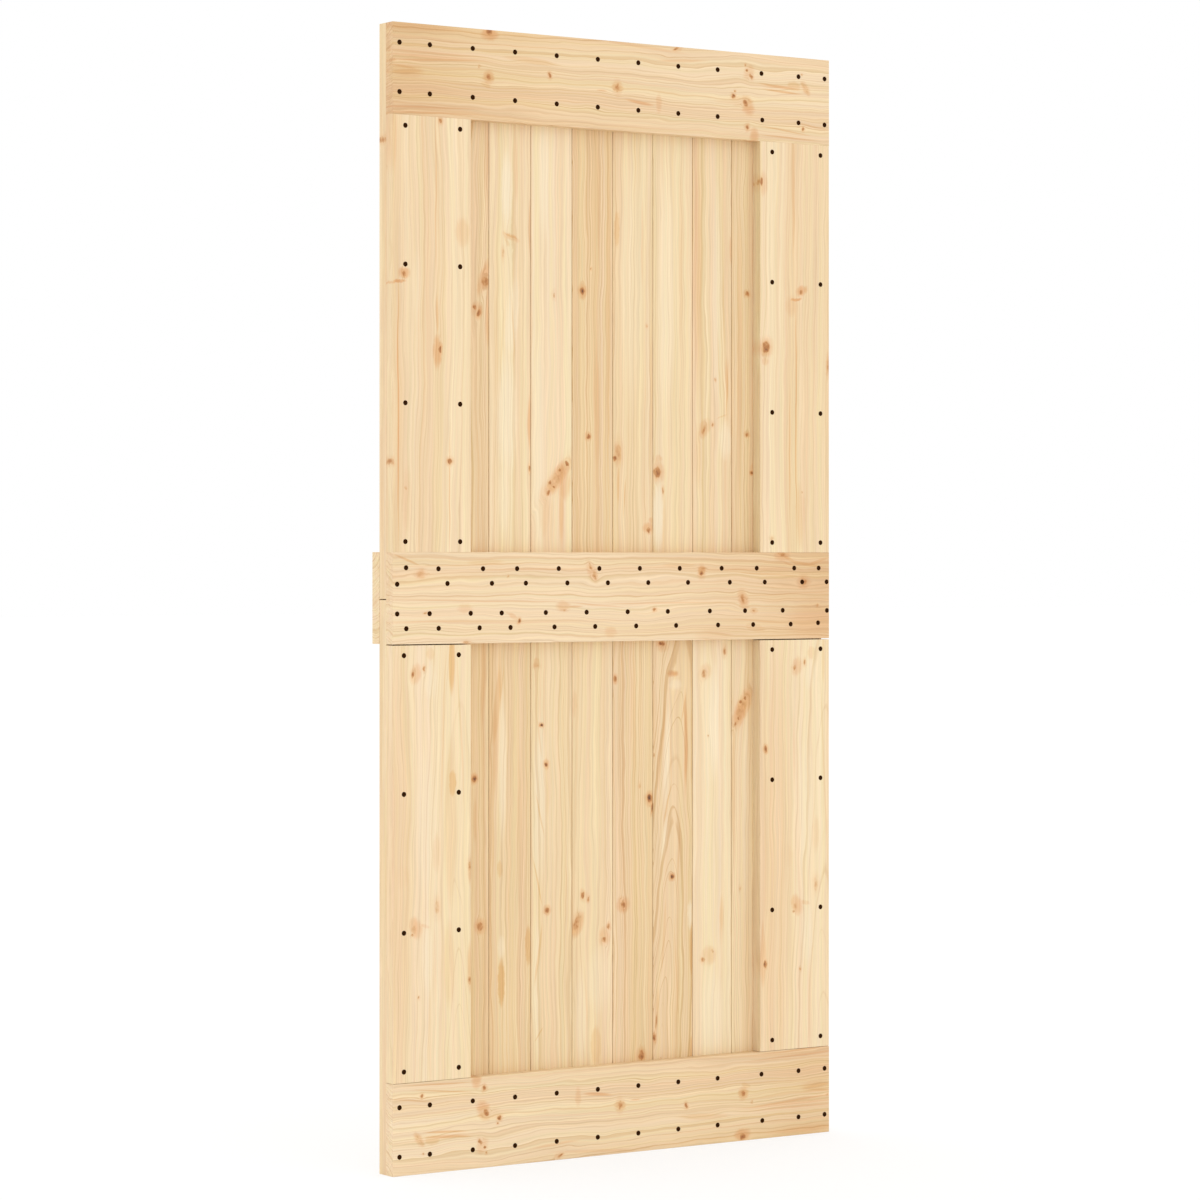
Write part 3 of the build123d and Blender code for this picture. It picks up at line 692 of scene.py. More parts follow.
class NodeBench:
    """Adds nodes to one tree. Each method takes numbers or sockets and returns the new node's output."""

    def __init__(self, tree):
        self.tree = tree
        self.count = 0

    def node(self, kind, **options):
        """One node with its options set, laid out in columns of six."""
        node = self.tree.nodes.new(kind)
        node.location = (240 * (self.count // 6), -230 * (self.count % 6))
        self.count += 1
        for name, value in options.items():
            setattr(node, name, value)
        return node

    def feed(self, socket, value):
        """Links an output to a socket, or sets the socket to a plain value."""
        if isinstance(value, bpy.types.NodeSocket):
            self.tree.links.new(value, socket)
        else:
            socket.default_value = value

    def math(self, operation, *values, clamp=False):
        """A Math node."""
        node = self.node("ShaderNodeMath", operation=operation, use_clamp=clamp)
        for socket, value in zip(node.inputs, values):
            self.feed(socket, value)
        return node.outputs[0]

    def vector(self, operation, *values):
        """A Vector Math node."""
        node = self.node("ShaderNodeVectorMath", operation=operation)
        for socket, value in zip(node.inputs, values):
            self.feed(socket, value)
        return node.outputs["Value" if operation in ("LENGTH", "DOT_PRODUCT") else "Vector"]

    def ease(self, value, start, end, low=0.0, high=1.0):
        """Runs smoothly from low to high as the value goes from start to end."""
        node = self.node("ShaderNodeMapRange", interpolation_type="SMOOTHSTEP")
        names = ("Value", "From Min", "From Max", "To Min", "To Max")
        for name, given in zip(names, (value, start, end, low, high)):
            self.feed(node.inputs[name], given)
        return node.outputs["Result"]

    def noise(self, place, detail=2.0, roughness=0.5, dimensions="3D"):
        """A Noise Texture at a place that is already scaled. Returns its value and its colour."""
        node = self.node("ShaderNodeTexNoise", noise_dimensions=dimensions)
        self.feed(node.inputs["W" if dimensions == "1D" else "Vector"], place)
        node.inputs["Scale"].default_value = 1.0
        node.inputs["Detail"].default_value = detail
        node.inputs["Roughness"].default_value = roughness
        return node.outputs["Fac"], node.outputs["Color"]

    def mix(self, factor, first, second, blend="MIX"):
        """A Mix node on colours."""
        node = self.node("ShaderNodeMix", data_type="RGBA", blend_type=blend)
        for index, value in ((0, factor), (6, first), (7, second)):
            self.feed(node.inputs[index], value)
        return node.outputs[2]

    def ramp(self, value, stops, interpolation="LINEAR"):
        """A Color Ramp through stops of place and colour."""
        node = self.node("ShaderNodeValToRGB")
        node.color_ramp.interpolation = interpolation
        elements = node.color_ramp.elements
        for index, (place, colour) in enumerate(stops):
            element = elements[index] if index < 2 else elements.new(place)
            element.position = place
            element.color = (*colour, 1.0)
        if len(stops) == 1:
            elements.remove(elements[1])
        self.feed(node.inputs["Fac"], value)
        return node.outputs["Color"]

    def split(self, value):
        """The three parts of a vector or colour."""
        node = self.node("ShaderNodeSeparateXYZ")
        self.feed(node.inputs["Vector"], value)
        return node.outputs[:]

    def join(self, *values):
        """A vector from three numbers."""
        node = self.node("ShaderNodeCombineXYZ")
        for socket, value in zip(node.inputs, values):
            self.feed(socket, value)
        return node.outputs["Vector"]

    def scaled(self, place, scale, shift):
        """A place stretched for a pattern and shifted in it."""
        return self.vector("MULTIPLY_ADD", place, scale, shift)

    def swing(self, noise, reach, middle):
        """The middle, moved to either side by up to half the reach as the noise goes from 0 to 1."""
        return self.math("MULTIPLY_ADD", self.math("SUBTRACT", noise, 0.5), reach, middle)

    def tinted(self, factor, colour, tint):
        """A colour multiplied by a tint, as far as the factor says."""
        return self.mix(factor, colour, self.mix(1.0, colour, (*tint, 1), "MULTIPLY"))

    def group(self, tree, values):
        """A node group with its inputs fed by name. Returns its outputs."""
        node = self.node("ShaderNodeGroup", node_tree=tree)
        for name, value in values.items():
            self.feed(node.inputs[name], value)
        return node.outputs

    def ellipse(self, place, centre, across, along):
        """A place in an ellipse's half axes: across them, along them, and both squared and added."""
        away = self.vector("SUBTRACT", place, centre)
        wide = self.vector("DOT_PRODUCT", away, across)
        long = self.vector("DOT_PRODUCT", away, along)
        long_squared = self.math("MULTIPLY", long, long)
        return wide, long_squared, self.math("MULTIPLY_ADD", wide, wide, long_squared)


# Sockets that place a knot or a stain
SPOT_SOCKETS = (("Place", "Vector"), ("Centre", "Vector"), ("Across", "Vector"), ("Along", "Vector"))


def empty_group(name, inputs, outputs):
    """A new node group with vector and number sockets, a bench to fill it, and its inputs."""
    group = bpy.data.node_groups.new(name, "ShaderNodeTree")
    for title, kind in inputs:
        group.interface.new_socket(title, in_out="INPUT", socket_type=f"NodeSocket{kind}")
    for title in outputs:
        group.interface.new_socket(title, in_out="OUTPUT", socket_type="NodeSocketFloat")
    bench = NodeBench(group)
    return group, bench, bench.node("NodeGroupInput").outputs


def knot_group():
    """The node group for one knot, chained once per knot.

    Distance is measured in the knot's own half axes, longer along the grain for the flow. The grain is
    pushed aside as water flows round a post: by the offset across divided by the distance squared, and fully
    inside the knot. The group also keeps the nearest knot's distance and depth of colour.
    """
    if "pine_knot" in bpy.data.node_groups:
        return bpy.data.node_groups["pine_knot"]
    group, bench, given = empty_group(
        "pine_knot",
        [*SPOT_SOCKETS, ("Width", "Float"), ("Depth", "Float"),
         ("Push", "Float"), ("Nearest", "Float"), ("Nearest depth", "Float")],
        ["Push", "Nearest", "Nearest depth"],
    )
    wide, long_squared, squared = bench.ellipse(*(given[name] for name, _ in SPOT_SOCKETS))
    distance = bench.math("SQRT", squared)
    flow = bench.math("MULTIPLY_ADD", wide, wide, bench.math("MULTIPLY", long_squared, 0.18))
    aside = bench.math("DIVIDE", wide, bench.math("MAXIMUM", flow, 1.0))
    push = bench.math("MULTIPLY_ADD", aside, given["Width"], given["Push"])
    nearer = bench.math("LESS_THAN", distance, given["Nearest"])
    change = bench.math("SUBTRACT", given["Depth"], given["Nearest depth"])
    depth = bench.math("MULTIPLY_ADD", change, nearer, given["Nearest depth"])
    nearest = bench.math("MINIMUM", distance, given["Nearest"])
    out = bench.node("NodeGroupOutput").inputs
    for name, value in (("Push", push), ("Nearest", nearest), ("Nearest depth", depth)):
        bench.feed(out[name], value)
    return group


def stain_group(name, outer, inner):
    """The node group for one stain, chained once per stain.

    The place's distance from the middle, squared and in half axes, runs the stain smoothly from nothing at
    the outer value to its full depth at the inner one. The deepest stain at a place counts.
    """
    if name in bpy.data.node_groups:
        return bpy.data.node_groups[name]
    group, bench, given = empty_group(
        name,
        [*SPOT_SOCKETS, ("Depth", "Float"), ("Deepest", "Float")],
        ["Deepest"],
    )
    squared = bench.ellipse(*(given[name] for name, _ in SPOT_SOCKETS))[2]
    stain = bench.math("MULTIPLY", bench.ease(squared, outer, inner), given["Depth"])
    deepest = bench.math("MAXIMUM", stain, given["Deepest"])
    bench.feed(bench.node("NodeGroupOutput").inputs["Deepest"], deepest)
    return group


def tone_stops(stops, low, high):
    """Stops given in millimetres as stops of a ramp that runs from low to high."""
    return [((place - low) / (high - low), (tone, tone, tone)) for place, tone in stops]


class PineBoard:
    """Planed pine for one board, solid through it so that its ends and edges carry the same figure.

    The heart of the tree is a line beside the board. A point's distance from it, with the point moved aside
    by the knots and by slow noise, divided by the ring's width, counts the years. Inside a year the late wood
    rises slowly and ends sharply. Strips, stains, knots, fine fibres and the sawn ends tint that further.
    """

    def __init__(self, board, settings):
        low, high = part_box(board)
        self.board = board
        self.settings = settings
        self.figure = FIGURES[board]
        self.front = low.y
        self.upright = high.z - low.z > high.x - low.x
        self.middle = (low.x + high.x) / 2 if self.upright else (low.z + high.z) / 2
        drawn_on = "top_rail" if self.figure.turned else board
        self.drawn_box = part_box(drawn_on)
        self.seed = SEED_STEP * (sorted(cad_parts).index(drawn_on) + 1)
        self.material = bpy.data.materials.new("pine_" + board)
        self.material.use_nodes = True
        self.bench = NodeBench(self.material.node_tree)
        self.lay_directions()

    def lay_directions(self):
        """The board's own directions, across it, along its grain and into it, and places that noise moves."""
        bench, seed = self.bench, self.seed
        coordinates = bench.node("ShaderNodeTexCoord").outputs
        x, y, z = bench.split(coordinates["Object"])
        self.facing = bench.split(coordinates["Normal"])
        self.across = bench.math("SUBTRACT", x if self.upright else z, self.middle)
        self.along = z if self.upright else x
        self.into = y
        if self.figure.turned:
            self.across = bench.math("SUBTRACT", TURNED_SHIFT[0], self.across)
            self.along = bench.math("SUBTRACT", TURNED_SHIFT[1], self.along)
        self.place = bench.join(self.across, self.along, y)
        self.rough = bench.noise(bench.scaled(self.place, ROUGH_EDGES, (seed, seed, 0)), detail=3.0)[1]
        stray = bench.vector("SUBTRACT", self.rough, (0.5, 0.5, 0.5))
        self.rough_place = bench.vector("MULTIPLY_ADD", stray, EDGE_STRAY, self.place)
        self.ripple = bench.noise(bench.scaled(self.place, RIPPLES, (2 * seed, seed, 0)), detail=2.0)[0]
        self.streak_place = bench.join(bench.swing(self.ripple, STREAK_STRAY, self.across), self.along, y)

    def spot(self, x_mm, z_mm, half_x, half_z, tilt):
        """A spot's half width, and its place, centre and two turned half axes in the board's directions."""
        spot_x, spot_z = in_frame(x_mm, z_mm)
        turn = math.radians(tilt)
        if self.upright:
            centre = (spot_x - self.middle, spot_z, 0)
            half_wide, half_long = half_x / 1000, half_z / 1000
        else:
            rail_middle = (self.drawn_box[0].z + self.drawn_box[1].z) / 2
            centre = (spot_z - rail_middle, spot_x, 0)
            half_wide, half_long, turn = half_z / 1000, half_x / 1000, -turn
        wide = (math.cos(turn) / half_wide, math.sin(turn) / half_wide, 0)
        long = (-math.sin(turn) / half_long, math.cos(turn) / half_long, 0)
        edged = self.streak_place if half_long > STREAK_SHAPE * half_wide else self.rough_place
        return half_wide, {"Place": edged, "Centre": centre, "Across": wide, "Along": long}

    def stained(self, table, group):
        """How deep the board is stained by its spots in a table."""
        deepest = 0.0
        for *shape, depth in table.get(self.board, []):
            sockets = self.spot(*shape)[1]
            deepest = self.bench.group(group, {**sockets, "Depth": depth, "Deepest": deepest})["Deepest"]
        return deepest

    def knots(self):
        """How far the knots push the grain aside, how deep a place lies in a knot, and the glow round it.

        A knot of no depth only pushes the grain.
        """
        bench = self.bench
        push, nearest, depth = 0.0, NO_KNOT, 0.0
        for *shape, knot_depth in KNOTS.get(self.board, []):
            half_wide, sockets = self.spot(*shape)
            bend = min(0.9, 1.8 * knot_depth) if knot_depth else 0.55
            outputs = bench.group(knot_group(), {
                **sockets, "Width": -bend * half_wide, "Depth": knot_depth,
                "Push": push, "Nearest": nearest, "Nearest depth": depth,
            })
            push, nearest, depth = (outputs[name] for name in ("Push", "Nearest", "Nearest depth"))
        mottle = bench.ease(bench.split(self.rough)[2], 0.3, 0.7, 0.52, 1.36)
        heart = bench.math("MULTIPLY", bench.math("MULTIPLY", bench.ease(nearest, 1.65, 0.0), depth), mottle)
        rim = bench.math("MULTIPLY", bench.ease(nearest, 0.55, 0.85), bench.ease(nearest, 1.2, 0.9))
        heart = bench.math("MULTIPLY_ADD", bench.math("MULTIPLY", rim, depth), 0.1, heart)
        glow = bench.math("MULTIPLY", bench.ease(nearest, 2.9, 0.7), depth)
        return push, heart, glow

    def grain(self, push):
        """Where a point lies across the board once its grain is bent, and the strength of late wood there."""
        bench, figure, seed = self.bench, self.figure, self.seed
        slow_place = bench.scaled(self.place, SLOW_BENDS, (seed, 2 * seed, seed))
        slow = bench.split(bench.noise(slow_place, detail=2.0)[1])
        strayed = bench.swing(slow[0], figure.wander * 0.004, push)
        strayed = bench.swing(self.ripple, UPRIGHT_RIPPLE if self.upright else RAIL_RIPPLE, strayed)
        bent = bench.math("ADD", self.across, strayed)

        heart_across, heart_behind = figure.heart[0] / 1000, self.front + figure.heart[1] / 1000
        side = bench.math("MULTIPLY_ADD", self.along, -figure.lean[0], bent)
        side = bench.math("SUBTRACT", side, heart_across)
        behind = bench.math("MULTIPLY_ADD", self.along, -figure.lean[1], self.into)
        behind = bench.math("SUBTRACT", behind, heart_behind)
        behind = bench.swing(slow[1], figure.wander * 0.0015, behind)
        squared = bench.math("MULTIPLY_ADD", side, side, bench.math("MULTIPLY", behind, behind))
        distance = bench.math("SQRT", squared)

        years = bench.math("DIVIDE", distance, figure.ring / 1000)
        uneven = bench.noise(bench.math("MULTIPLY_ADD", years, 0.55, seed), detail=1.0, dimensions="1D")[0]
        years = bench.math("MULTIPLY_ADD", uneven, 2.2, years)
        year = bench.math("FLOOR", years)
        season = bench.math("SUBTRACT", years, year)
        slope = bench.math("DIVIDE", bench.math("ABSOLUTE", side), distance)
        share = bench.math("MINIMUM", bench.math("MULTIPLY_ADD", slope, 3.2 / figure.ring, 0.06), 0.6)
        rising = bench.ease(season, bench.math("SUBTRACT", 1.0, share), 0.95)
        late = bench.math("MULTIPLY", rising, bench.ease(season, 1.0, 0.95))
        yearly = bench.node("ShaderNodeTexWhiteNoise", noise_dimensions="1D")
        bench.feed(yearly.inputs["W"], year)
        strength = bench.math("MULTIPLY_ADD", yearly.outputs["Value"], 0.75 * figure.line, 0.25 * figure.line)
        return bent, bench.math("MULTIPLY", late, strength)

    def tone(self, bent, strip):
        """The depth of tone: from strip to strip, in the board's steps across it, and along the grain."""
        bench, figure = self.bench, self.figure
        tone = bench.math("MULTIPLY", bench.math("SUBTRACT", strip, 0.5), 3.2 * figure.band)
        side_axis = 0 if self.upright else 2
        first, last = ((corner[side_axis] - CAD_BOX[0][side_axis]) * 1000 for corner in self.drawn_box)
        if len(figure.across) > 1:
            spread = bench.math("MULTIPLY_ADD", bent, 1000 / (last - first), 0.5)
            tone = bench.math("ADD", tone, bench.ramp(spread, tone_stops(figure.across, first, last)))
        else:
            tone = bench.math("ADD", tone, figure.across[0][1])
        if figure.along:
            length = CAD_BOX[1].x - CAD_BOX[0].x
            run = bench.math("MULTIPLY_ADD", self.along, 1 / length, 0.5)
            stops = tone_stops(figure.along, 0, 1000 * length)
            tone = bench.math("ADD", tone, bench.ramp(run, stops, "EASE"))
        return tone

    def colour(self, push, heart, glow):
        """The wood's colour, and its fine fibres, which the roughness follows too."""
        bench, figure, settings, seed = self.bench, self.figure, self.settings, self.seed
        warm = self.stained(STAINS, stain_group("pine_stain", 1.7, 0.1))
        warm = bench.math("MAXIMUM", bench.math("MULTIPLY", glow, 0.8), warm)
        honey = self.stained(HONEYS, stain_group("pine_resin", 1.4, 0.4))
        pale = self.stained(PALES, stain_group("pine_stain", 1.7, 0.1))
        bent, late = self.grain(push)
        bent_place = bench.join(bent, self.along, self.into)
        strip_place = bench.scaled(bent_place, STRIPS, (seed, seed, 0))
        strip = bench.split(bench.noise(strip_place, detail=4.0, roughness=0.7)[1])
        fibre = bench.noise(bench.scaled(bent_place, FIBRES, (seed, 0, seed)), detail=3.0, roughness=0.6)[0]

        shades = [(0.0, settings.white_wood), (0.2, settings.pale_wood),
                  (0.7, settings.deep_wood), (1.0, settings.tan_wood)]
        depth = bench.math("MULTIPLY_ADD", self.tone(bent, strip[0]), 0.5, 0.2, clamp=True)
        colour = bench.ramp(depth, shades)
        rosy = bench.ease(bench.math("ADD", strip[1], figure.rosy - 0.5), 0.32, 0.68)
        colour = bench.mix(1.0, colour, bench.mix(rosy, YELLOW_TINT, ROSY_TINT), "MULTIPLY")
        colour = bench.mix(pale, colour, (*settings.white_wood, 1))
        colour = bench.tinted(honey, colour, settings.honey_wood)
        colour = bench.tinted(late, colour, settings.late_wood)
        grey = bench.math("MULTIPLY_ADD", fibre, 0.36, 0.82)
        colour = bench.mix(1.0, colour, bench.join(grey, grey, grey), "MULTIPLY")
        warm = bench.math("MULTIPLY", warm, bench.ease(strip[2], 0.34, 0.62, 0.7, 1.1), clamp=True)
        colour = bench.tinted(warm, colour, settings.warm_wood)
        knots = [(0.12, settings.knot_tan), (0.62, settings.knot_red), (1.0, settings.knot_dark)]
        colour = bench.mix(bench.ease(heart, 0.02, 0.44, 0.0, 0.96), colour, bench.ramp(heart, knots))
        # Painted shade: faces turned to the left (on a rail, those turned down) take the board's edge tint,
        # greyer and cooler as in shade
        if figure.edge != (1, 1, 1):
            edge = bench.ease(self.facing[0 if self.upright else 2], -0.6, -0.9)
            colour = bench.tinted(edge, colour, figure.edge)
        sawn = bench.ease(bench.math("ABSOLUTE", self.facing[2 if self.upright else 0]), 0.6, 0.9)
        return bench.tinted(sawn, colour, settings.end_grain), fibre

    def raised_grain(self):
        """The planed face's normal, with its grain raised a little."""
        bench, seed = self.bench, self.seed
        bump = bench.node("ShaderNodeBump")
        bump.inputs["Strength"].default_value = 0.5
        bump.inputs["Distance"].default_value = self.settings.relief
        grain_place = bench.scaled(self.place, RAISED_GRAIN, (0, seed, seed))
        bench.feed(bump.inputs["Height"], bench.noise(grain_place, detail=2.0)[0])
        return bump.outputs["Normal"]

    def planed(self):
        """The finished material."""
        bench = self.bench
        push, heart, glow = self.knots()
        colour, fibre = self.colour(push, heart, glow)
        roughness = bench.math("MULTIPLY_ADD", fibre, 0.16, bench.math("MULTIPLY_ADD", heart, -0.12, 0.46))
        shader = self.material.node_tree.nodes["Principled BSDF"]
        bench.feed(shader.inputs["Base Color"], colour)
        bench.feed(shader.inputs["Roughness"], roughness)
        bench.feed(shader.inputs["Normal"], self.raised_grain())
        shader.inputs["Specular IOR Level"].default_value = self.settings.gloss
        return self.material


def dress(boards, settings):
    """Gives each board of the frame its own pine."""
    for board in boards:
        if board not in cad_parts:
            raise RuntimeError(f"the frame has no board named {board}")
        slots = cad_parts[board].data.materials
        slots.clear()
        slots.append(PineBoard(board, settings).planed())


def screw_heads(name, places, face, settings):
    """One mesh of all screw heads on a board.

    A head is a surface of turn: rings at shares s of its radius, and an angle a. Over the board's face it
    rises by the rim's rise plus the crown times 1 - s squared. From that comes off the recess, times 1 less
    the square of s over the recess's share, times the squared cosine of twice the angle, which leaves a
    cross. The rim is rounded, and a skirt goes down into the board, where a flat disc closes it. Each head is
    turned by a further golden angle.
    """
    count, sides = len(places), HEAD_SIDES
    radius = settings.head_diameter / 2
    shares = np.array(HEAD_SHARES)
    angle = np.arange(sides) * 2 * np.pi / sides
    turn = np.arange(count) * GOLDEN_ANGLE
    share = shares[:, None]
    cross = np.clip(1 - (share / RECESS_SHARE) ** 2, 0, None) * np.cos(2 * angle[None, :]) ** 2
    rise = settings.rim_rise + settings.crown * (1 - share**2) - settings.recess * cross
    rise[-2] = ROUNDED_RIM * settings.rim_rise
    rise[-1] = -SKIRT_DEPTH
    theta = angle[None, None, :] + turn[:, None, None]
    frame_places = np.array([in_frame(x, z) for x, z in places])
    ring_x = frame_places[:, 0, None, None] + radius * shares[None, :, None] * np.cos(theta)
    ring_z = frame_places[:, 1, None, None] + radius * shares[None, :, None] * np.sin(theta)
    ring_y = np.broadcast_to(face - rise[None], ring_x.shape)
    rings = np.stack([ring_x, ring_y, ring_z], -1).reshape(count, -1, 3)
    pole_rise = np.array([settings.rim_rise + settings.crown - settings.recess, -SKIRT_DEPTH])
    poles = np.stack([
        np.repeat(frame_places[:, :1], 2, 1),
        face - np.repeat(pole_rise[None], count, 0),
        np.repeat(frame_places[:, 1:], 2, 1),
    ], -1)
    points = np.concatenate([rings, poles], 1)
    per_head = points.shape[1]
    near = np.arange(sides)
    far = (near + 1) % sides
    level = np.arange(len(shares) - 1)[:, None] * sides
    below = level + sides
    quads = np.stack([level + near, level + far, below + far, below + near], -1).reshape(-1, 4)
    top_pole, last = per_head - 2, (len(shares) - 1) * sides
    fans = np.concatenate([
        np.stack([np.full(sides, top_pole), far, near], -1),
        np.stack([np.full(sides, top_pole + 1), last + near, last + far], -1),
    ])
    starts = np.arange(count)[:, None, None] * per_head
    faces = (quads[None] + starts).reshape(-1, 4).tolist() + (fans[None] + starts).reshape(-1, 3).tolist()
    mesh = bpy.data.meshes.new(name)
    mesh.from_pydata(points.reshape(-1, 3).tolist(), [], faces)
    worn = np.tile(np.concatenate([np.repeat(shares, sides), [0.0, 1.0]]), count).astype(np.float32)
    mesh.attributes.new("share", "FLOAT", "POINT").data.foreach_set("value", worn)
    mesh.polygons.foreach_set("use_smooth", np.ones(len(mesh.polygons), bool))
    mesh.update()
    heads = bpy.data.objects.new(name, mesh)
    bpy.context.scene.collection.objects.link(heads)
    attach(heads, "root")
    return heads


def screw_lacquer(settings):
    """Dark brown lacquer on the screw heads, rubbed lighter in patches and towards the rim."""
    material = bpy.data.materials.new("screw_lacquer")
    material.use_nodes = True
    bench = NodeBench(material.node_tree)
    shader = material.node_tree.nodes["Principled BSDF"]
    place = bench.node("ShaderNodeTexCoord").outputs["Object"]
    patchy = bench.noise(bench.vector("MULTIPLY", place, (420, 420, 420)), detail=3.0)[0]
    share = bench.node("ShaderNodeAttribute", attribute_name="share").outputs["Fac"]
    rubbed = bench.math("MULTIPLY", bench.ease(share, 0.5, 0.95, 0.25, 1.0), bench.ease(patchy, 0.46, 0.7))
    colour = bench.mix(rubbed, (*settings.lacquer, 1), (*settings.rubbed, 1))
    bump = bench.node("ShaderNodeBump")
    bump.inputs["Strength"].default_value = 0.3
    bump.inputs["Distance"].default_value = 0.0001
    bench.feed(bump.inputs["Height"], patchy)
    bench.feed(shader.inputs["Base Color"], colour)
    bench.feed(shader.inputs["Roughness"], bench.math("MULTIPLY_ADD", patchy, 0.3, 0.4))
    shader.inputs["Specular IOR Level"].default_value = 0.03
    bench.feed(shader.inputs["Normal"], bump.outputs["Normal"])
    return material


def floor_surface(reach, level, lines=9):
    """The floor: a flat grid of places, reach metres to every side of the leaf, all at one level."""
    steps = np.linspace(-reach, reach, lines)
    x, y = np.meshgrid(steps, steps, indexing="ij")
    points = np.stack([x, y, np.full_like(x, level)], -1).reshape(-1, 3)
    index = np.arange(lines**2).reshape(lines, lines)
    faces = np.stack([index[:-1, :-1], index[1:, :-1], index[1:, 1:], index[:-1, 1:]], -1).reshape(-1, 4)
    mesh = bpy.data.meshes.new("floor")
    mesh.from_pydata(points.tolist(), [], faces.tolist())
    mesh.update()
    floor = bpy.data.objects.new("floor", mesh)
    bpy.context.scene.collection.objects.link(floor)
    return floor


def seen_directly(bench):
    """1 for rays from the camera, and for those that a mirror or glass passes on."""
    path = bench.node("ShaderNodeLightPath").outputs
    passed_on = bench.math("MAXIMUM", path["Is Glossy Ray"], path["Is Transmission Ray"])
    return bench.math("MAXIMUM", path["Is Camera Ray"], passed_on)


def floor_paint(settings):
    """Pale matt floor: seen directly white with the leaf's soft shadow, and to other light pale grey."""
    material = bpy.data.materials.new("pale_floor")
    material.use_nodes = True
    tree = material.node_tree
    bench = NodeBench(tree)
    shader = tree.nodes["Principled BSDF"]
    shader.inputs["Roughness"].default_value = 1.0
    shader.inputs["Specular IOR Level"].default_value = 0.0
    shader.inputs["Emission Color"].default_value = (1, 1, 1, 1)
    direct = seen_directly(bench)
    colour = bench.mix(direct, (*settings.floor_lit, 1), (*settings.floor_seen, 1))
    bench.feed(shader.inputs["Base Color"], colour)
    bench.feed(shader.inputs["Emission Strength"], bench.math("MULTIPLY", direct, settings.floor_glow))
    return material


def white_world(strength):
    """An even sky that is white where it is seen directly."""
    world = bpy.data.worlds.new("studio")
    bpy.context.scene.world = world
    world.use_nodes = True
    bench = NodeBench(world.node_tree)
    background = world.node_tree.nodes["Background"]
    background.inputs["Color"].default_value = (1, 1, 1, 1)
    seen = bench.math("MULTIPLY_ADD", seen_directly(bench), 1 - strength, strength)
    bench.feed(background.inputs["Strength"], seen)


def broad_lamp(name, place, aim, size, power):
    """A square lamp at a place, turned to its aim."""
    lamp = bpy.data.lights.new(name, "AREA")
    lamp.shape = "SQUARE"
    lamp.size = size
    lamp.energy = power
    holder = bpy.data.objects.new(name, lamp)
    bpy.context.scene.collection.objects.link(holder)
    holder.location = place
    direction = np.subtract(aim, place)
    level = math.hypot(direction[0], direction[1])
    holder.rotation_euler = (math.atan2(level, -direction[2]), 0, math.atan2(-direction[0], direction[1]))
    return holder


class DOORLEAF_OT_dress_rails(bpy.types.Operator):
    """Gives the three front rails and the rear rail their pine"""

    bl_idname = "door_leaf.dress_rails"
    bl_label = "Dress rails"

    def execute(self, context):
        dress(RAILS, context.scene.door_leaf.pine)
        return {"FINISHED"}


class DOORLEAF_OT_dress_stiles(bpy.types.Operator):
    """Gives the four stiles their pine"""

    bl_idname = "door_leaf.dress_stiles"
    bl_label = "Dress stiles"

    def execute(self, context):
        dress(STILES, context.scene.door_leaf.pine)
        return {"FINISHED"}


class DOORLEAF_OT_dress_planks(bpy.types.Operator):
    """Gives the planks of both rows their pine"""

    bl_idname = "door_leaf.dress_planks"
    bl_label = "Dress planks"

    def execute(self, context):
        dress(PLANKS, context.scene.door_leaf.pine)
        return {"FINISHED"}


class DOORLEAF_OT_drive_screws(bpy.types.Operator):
    """Sets the dark screw heads into the front boards"""

    bl_idname = "door_leaf.drive_screws"
    bl_label = "Drive screws"

    def execute(self, context):
        settings = context.scene.door_leaf.screws
        lacquer = screw_lacquer(settings)
        for board, places in SCREWS.items():
            heads = screw_heads(board + "_screws", places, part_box(board)[0].y, settings)
            heads.data.materials.append(lacquer)
        return {"FINISHED"}


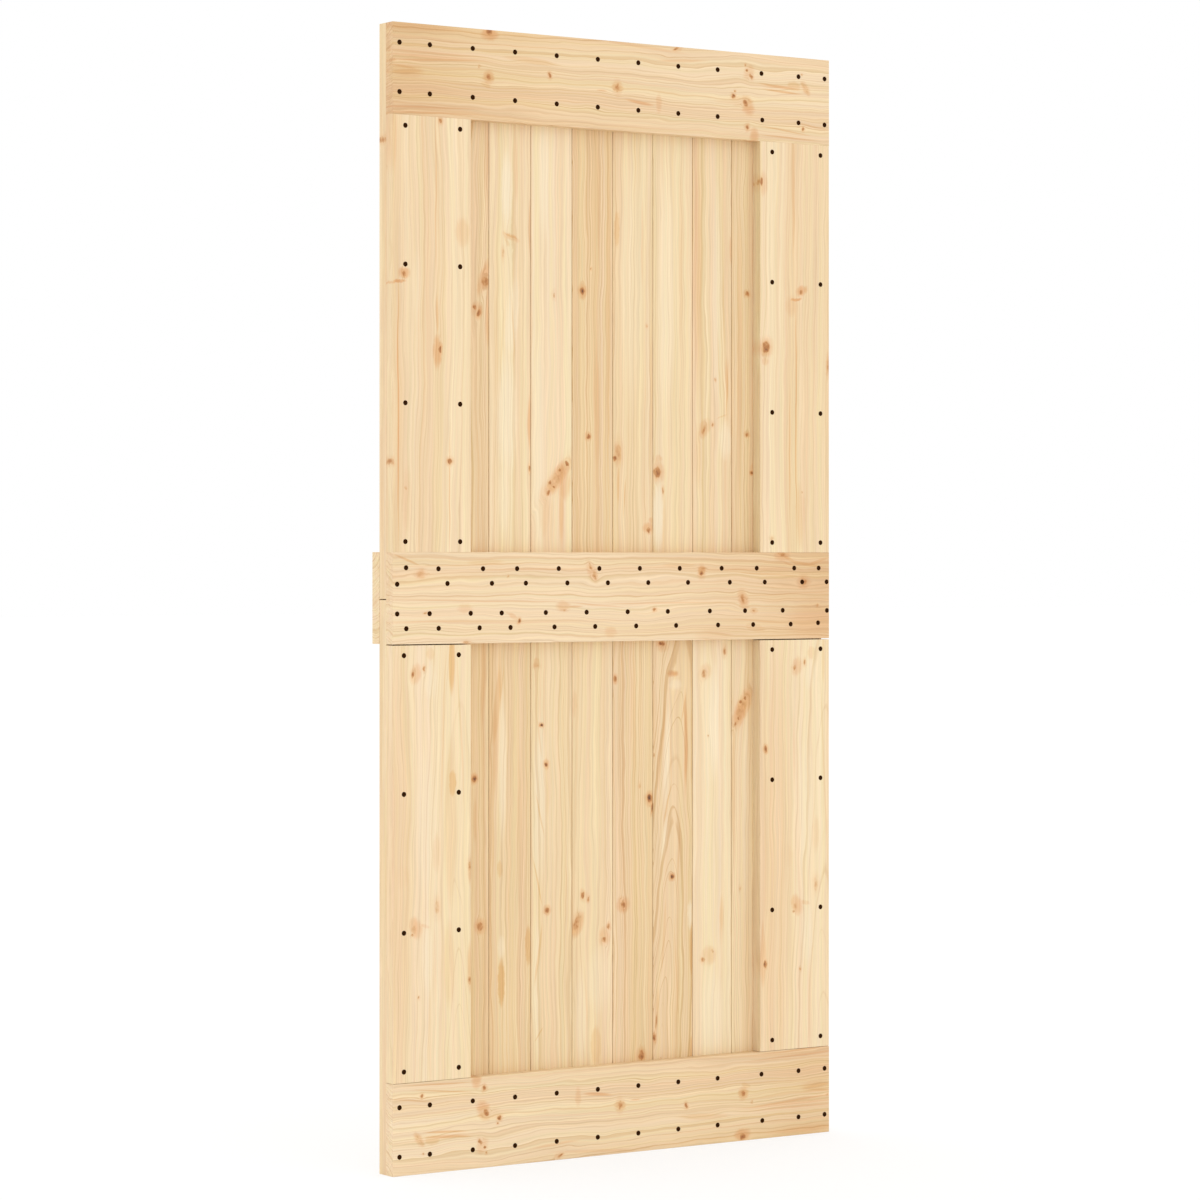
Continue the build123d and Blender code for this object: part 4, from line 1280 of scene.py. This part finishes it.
class DOORLEAF_OT_set_stage(bpy.types.Operator):
    """Lays the floor, hangs the lamp and sets the camera"""

    bl_idname = "door_leaf.set_stage"
    bl_label = "Set stage"

    def execute(self, context):
        scene = context.scene
        settings = scene.door_leaf.stage
        low, high = CAD_BOX
        floor_surface(settings.floor_reach, low.z).data.materials.append(floor_paint(settings))
        white_world(settings.sky)
        aim = (0, 0, (low.z + high.z) / 2)
        broad_lamp("soft_lamp", settings.lamp_place, aim, settings.lamp_size, settings.lamp_power)
        camera_data = bpy.data.cameras.new("camera")
        camera_data.sensor_width = 36
        camera_data.lens = settings.lens
        camera_data.shift_y = -settings.frame_drop
        camera_data.clip_end = 500
        camera = bpy.data.objects.new("camera", camera_data)
        scene.collection.objects.link(camera)
        camera.location = settings.camera_place
        camera.rotation_euler = (math.pi / 2, 0, -settings.camera_heading)
        scene.camera = camera
        scene.view_settings.view_transform = "Standard"
        return {"FINISHED"}


class DOORLEAF_PT_panel(bpy.types.Panel):
    """Lists the steps and settings of the door leaf in the sidebar"""

    bl_idname = "DOORLEAF_PT_panel"
    bl_label = "Door Leaf"
    bl_space_type = "VIEW_3D"
    bl_region_type = "UI"
    bl_category = "Door Leaf"

    def draw(self, context):
        settings = context.scene.door_leaf
        for step in STEPS:
            self.layout.operator(step.bl_idname)
        for group in (settings.pine, settings.screws, settings.stage):
            box = self.layout.box()
            for name in group.__annotations__:
                box.prop(group, name)


STEPS = (
    DOORLEAF_OT_set_stage,
    DOORLEAF_OT_dress_rails,
    DOORLEAF_OT_dress_stiles,
    DOORLEAF_OT_dress_planks,
    DOORLEAF_OT_drive_screws,
)
CLASSES = (PineSettings, ScrewSettings, StageSettings, DoorLeafSettings, *STEPS, DOORLEAF_PT_panel)


def register():
    """Registers the classes and hangs the settings on the scene."""
    for cls in CLASSES:
        bpy.utils.register_class(cls)
    bpy.types.Scene.door_leaf = PointerProperty(type=DoorLeafSettings)


def unregister():
    """Takes the settings and the classes away again."""
    del bpy.types.Scene.door_leaf
    for cls in reversed(CLASSES):
        bpy.utils.unregister_class(cls)


def main():
    """Runs every step in order."""
    register()
    bpy.ops.door_leaf.set_stage()
    bpy.ops.door_leaf.dress_rails()
    bpy.ops.door_leaf.dress_stiles()
    bpy.ops.door_leaf.dress_planks()
    bpy.ops.door_leaf.drive_screws()


if __name__ == "__main__":
    main()
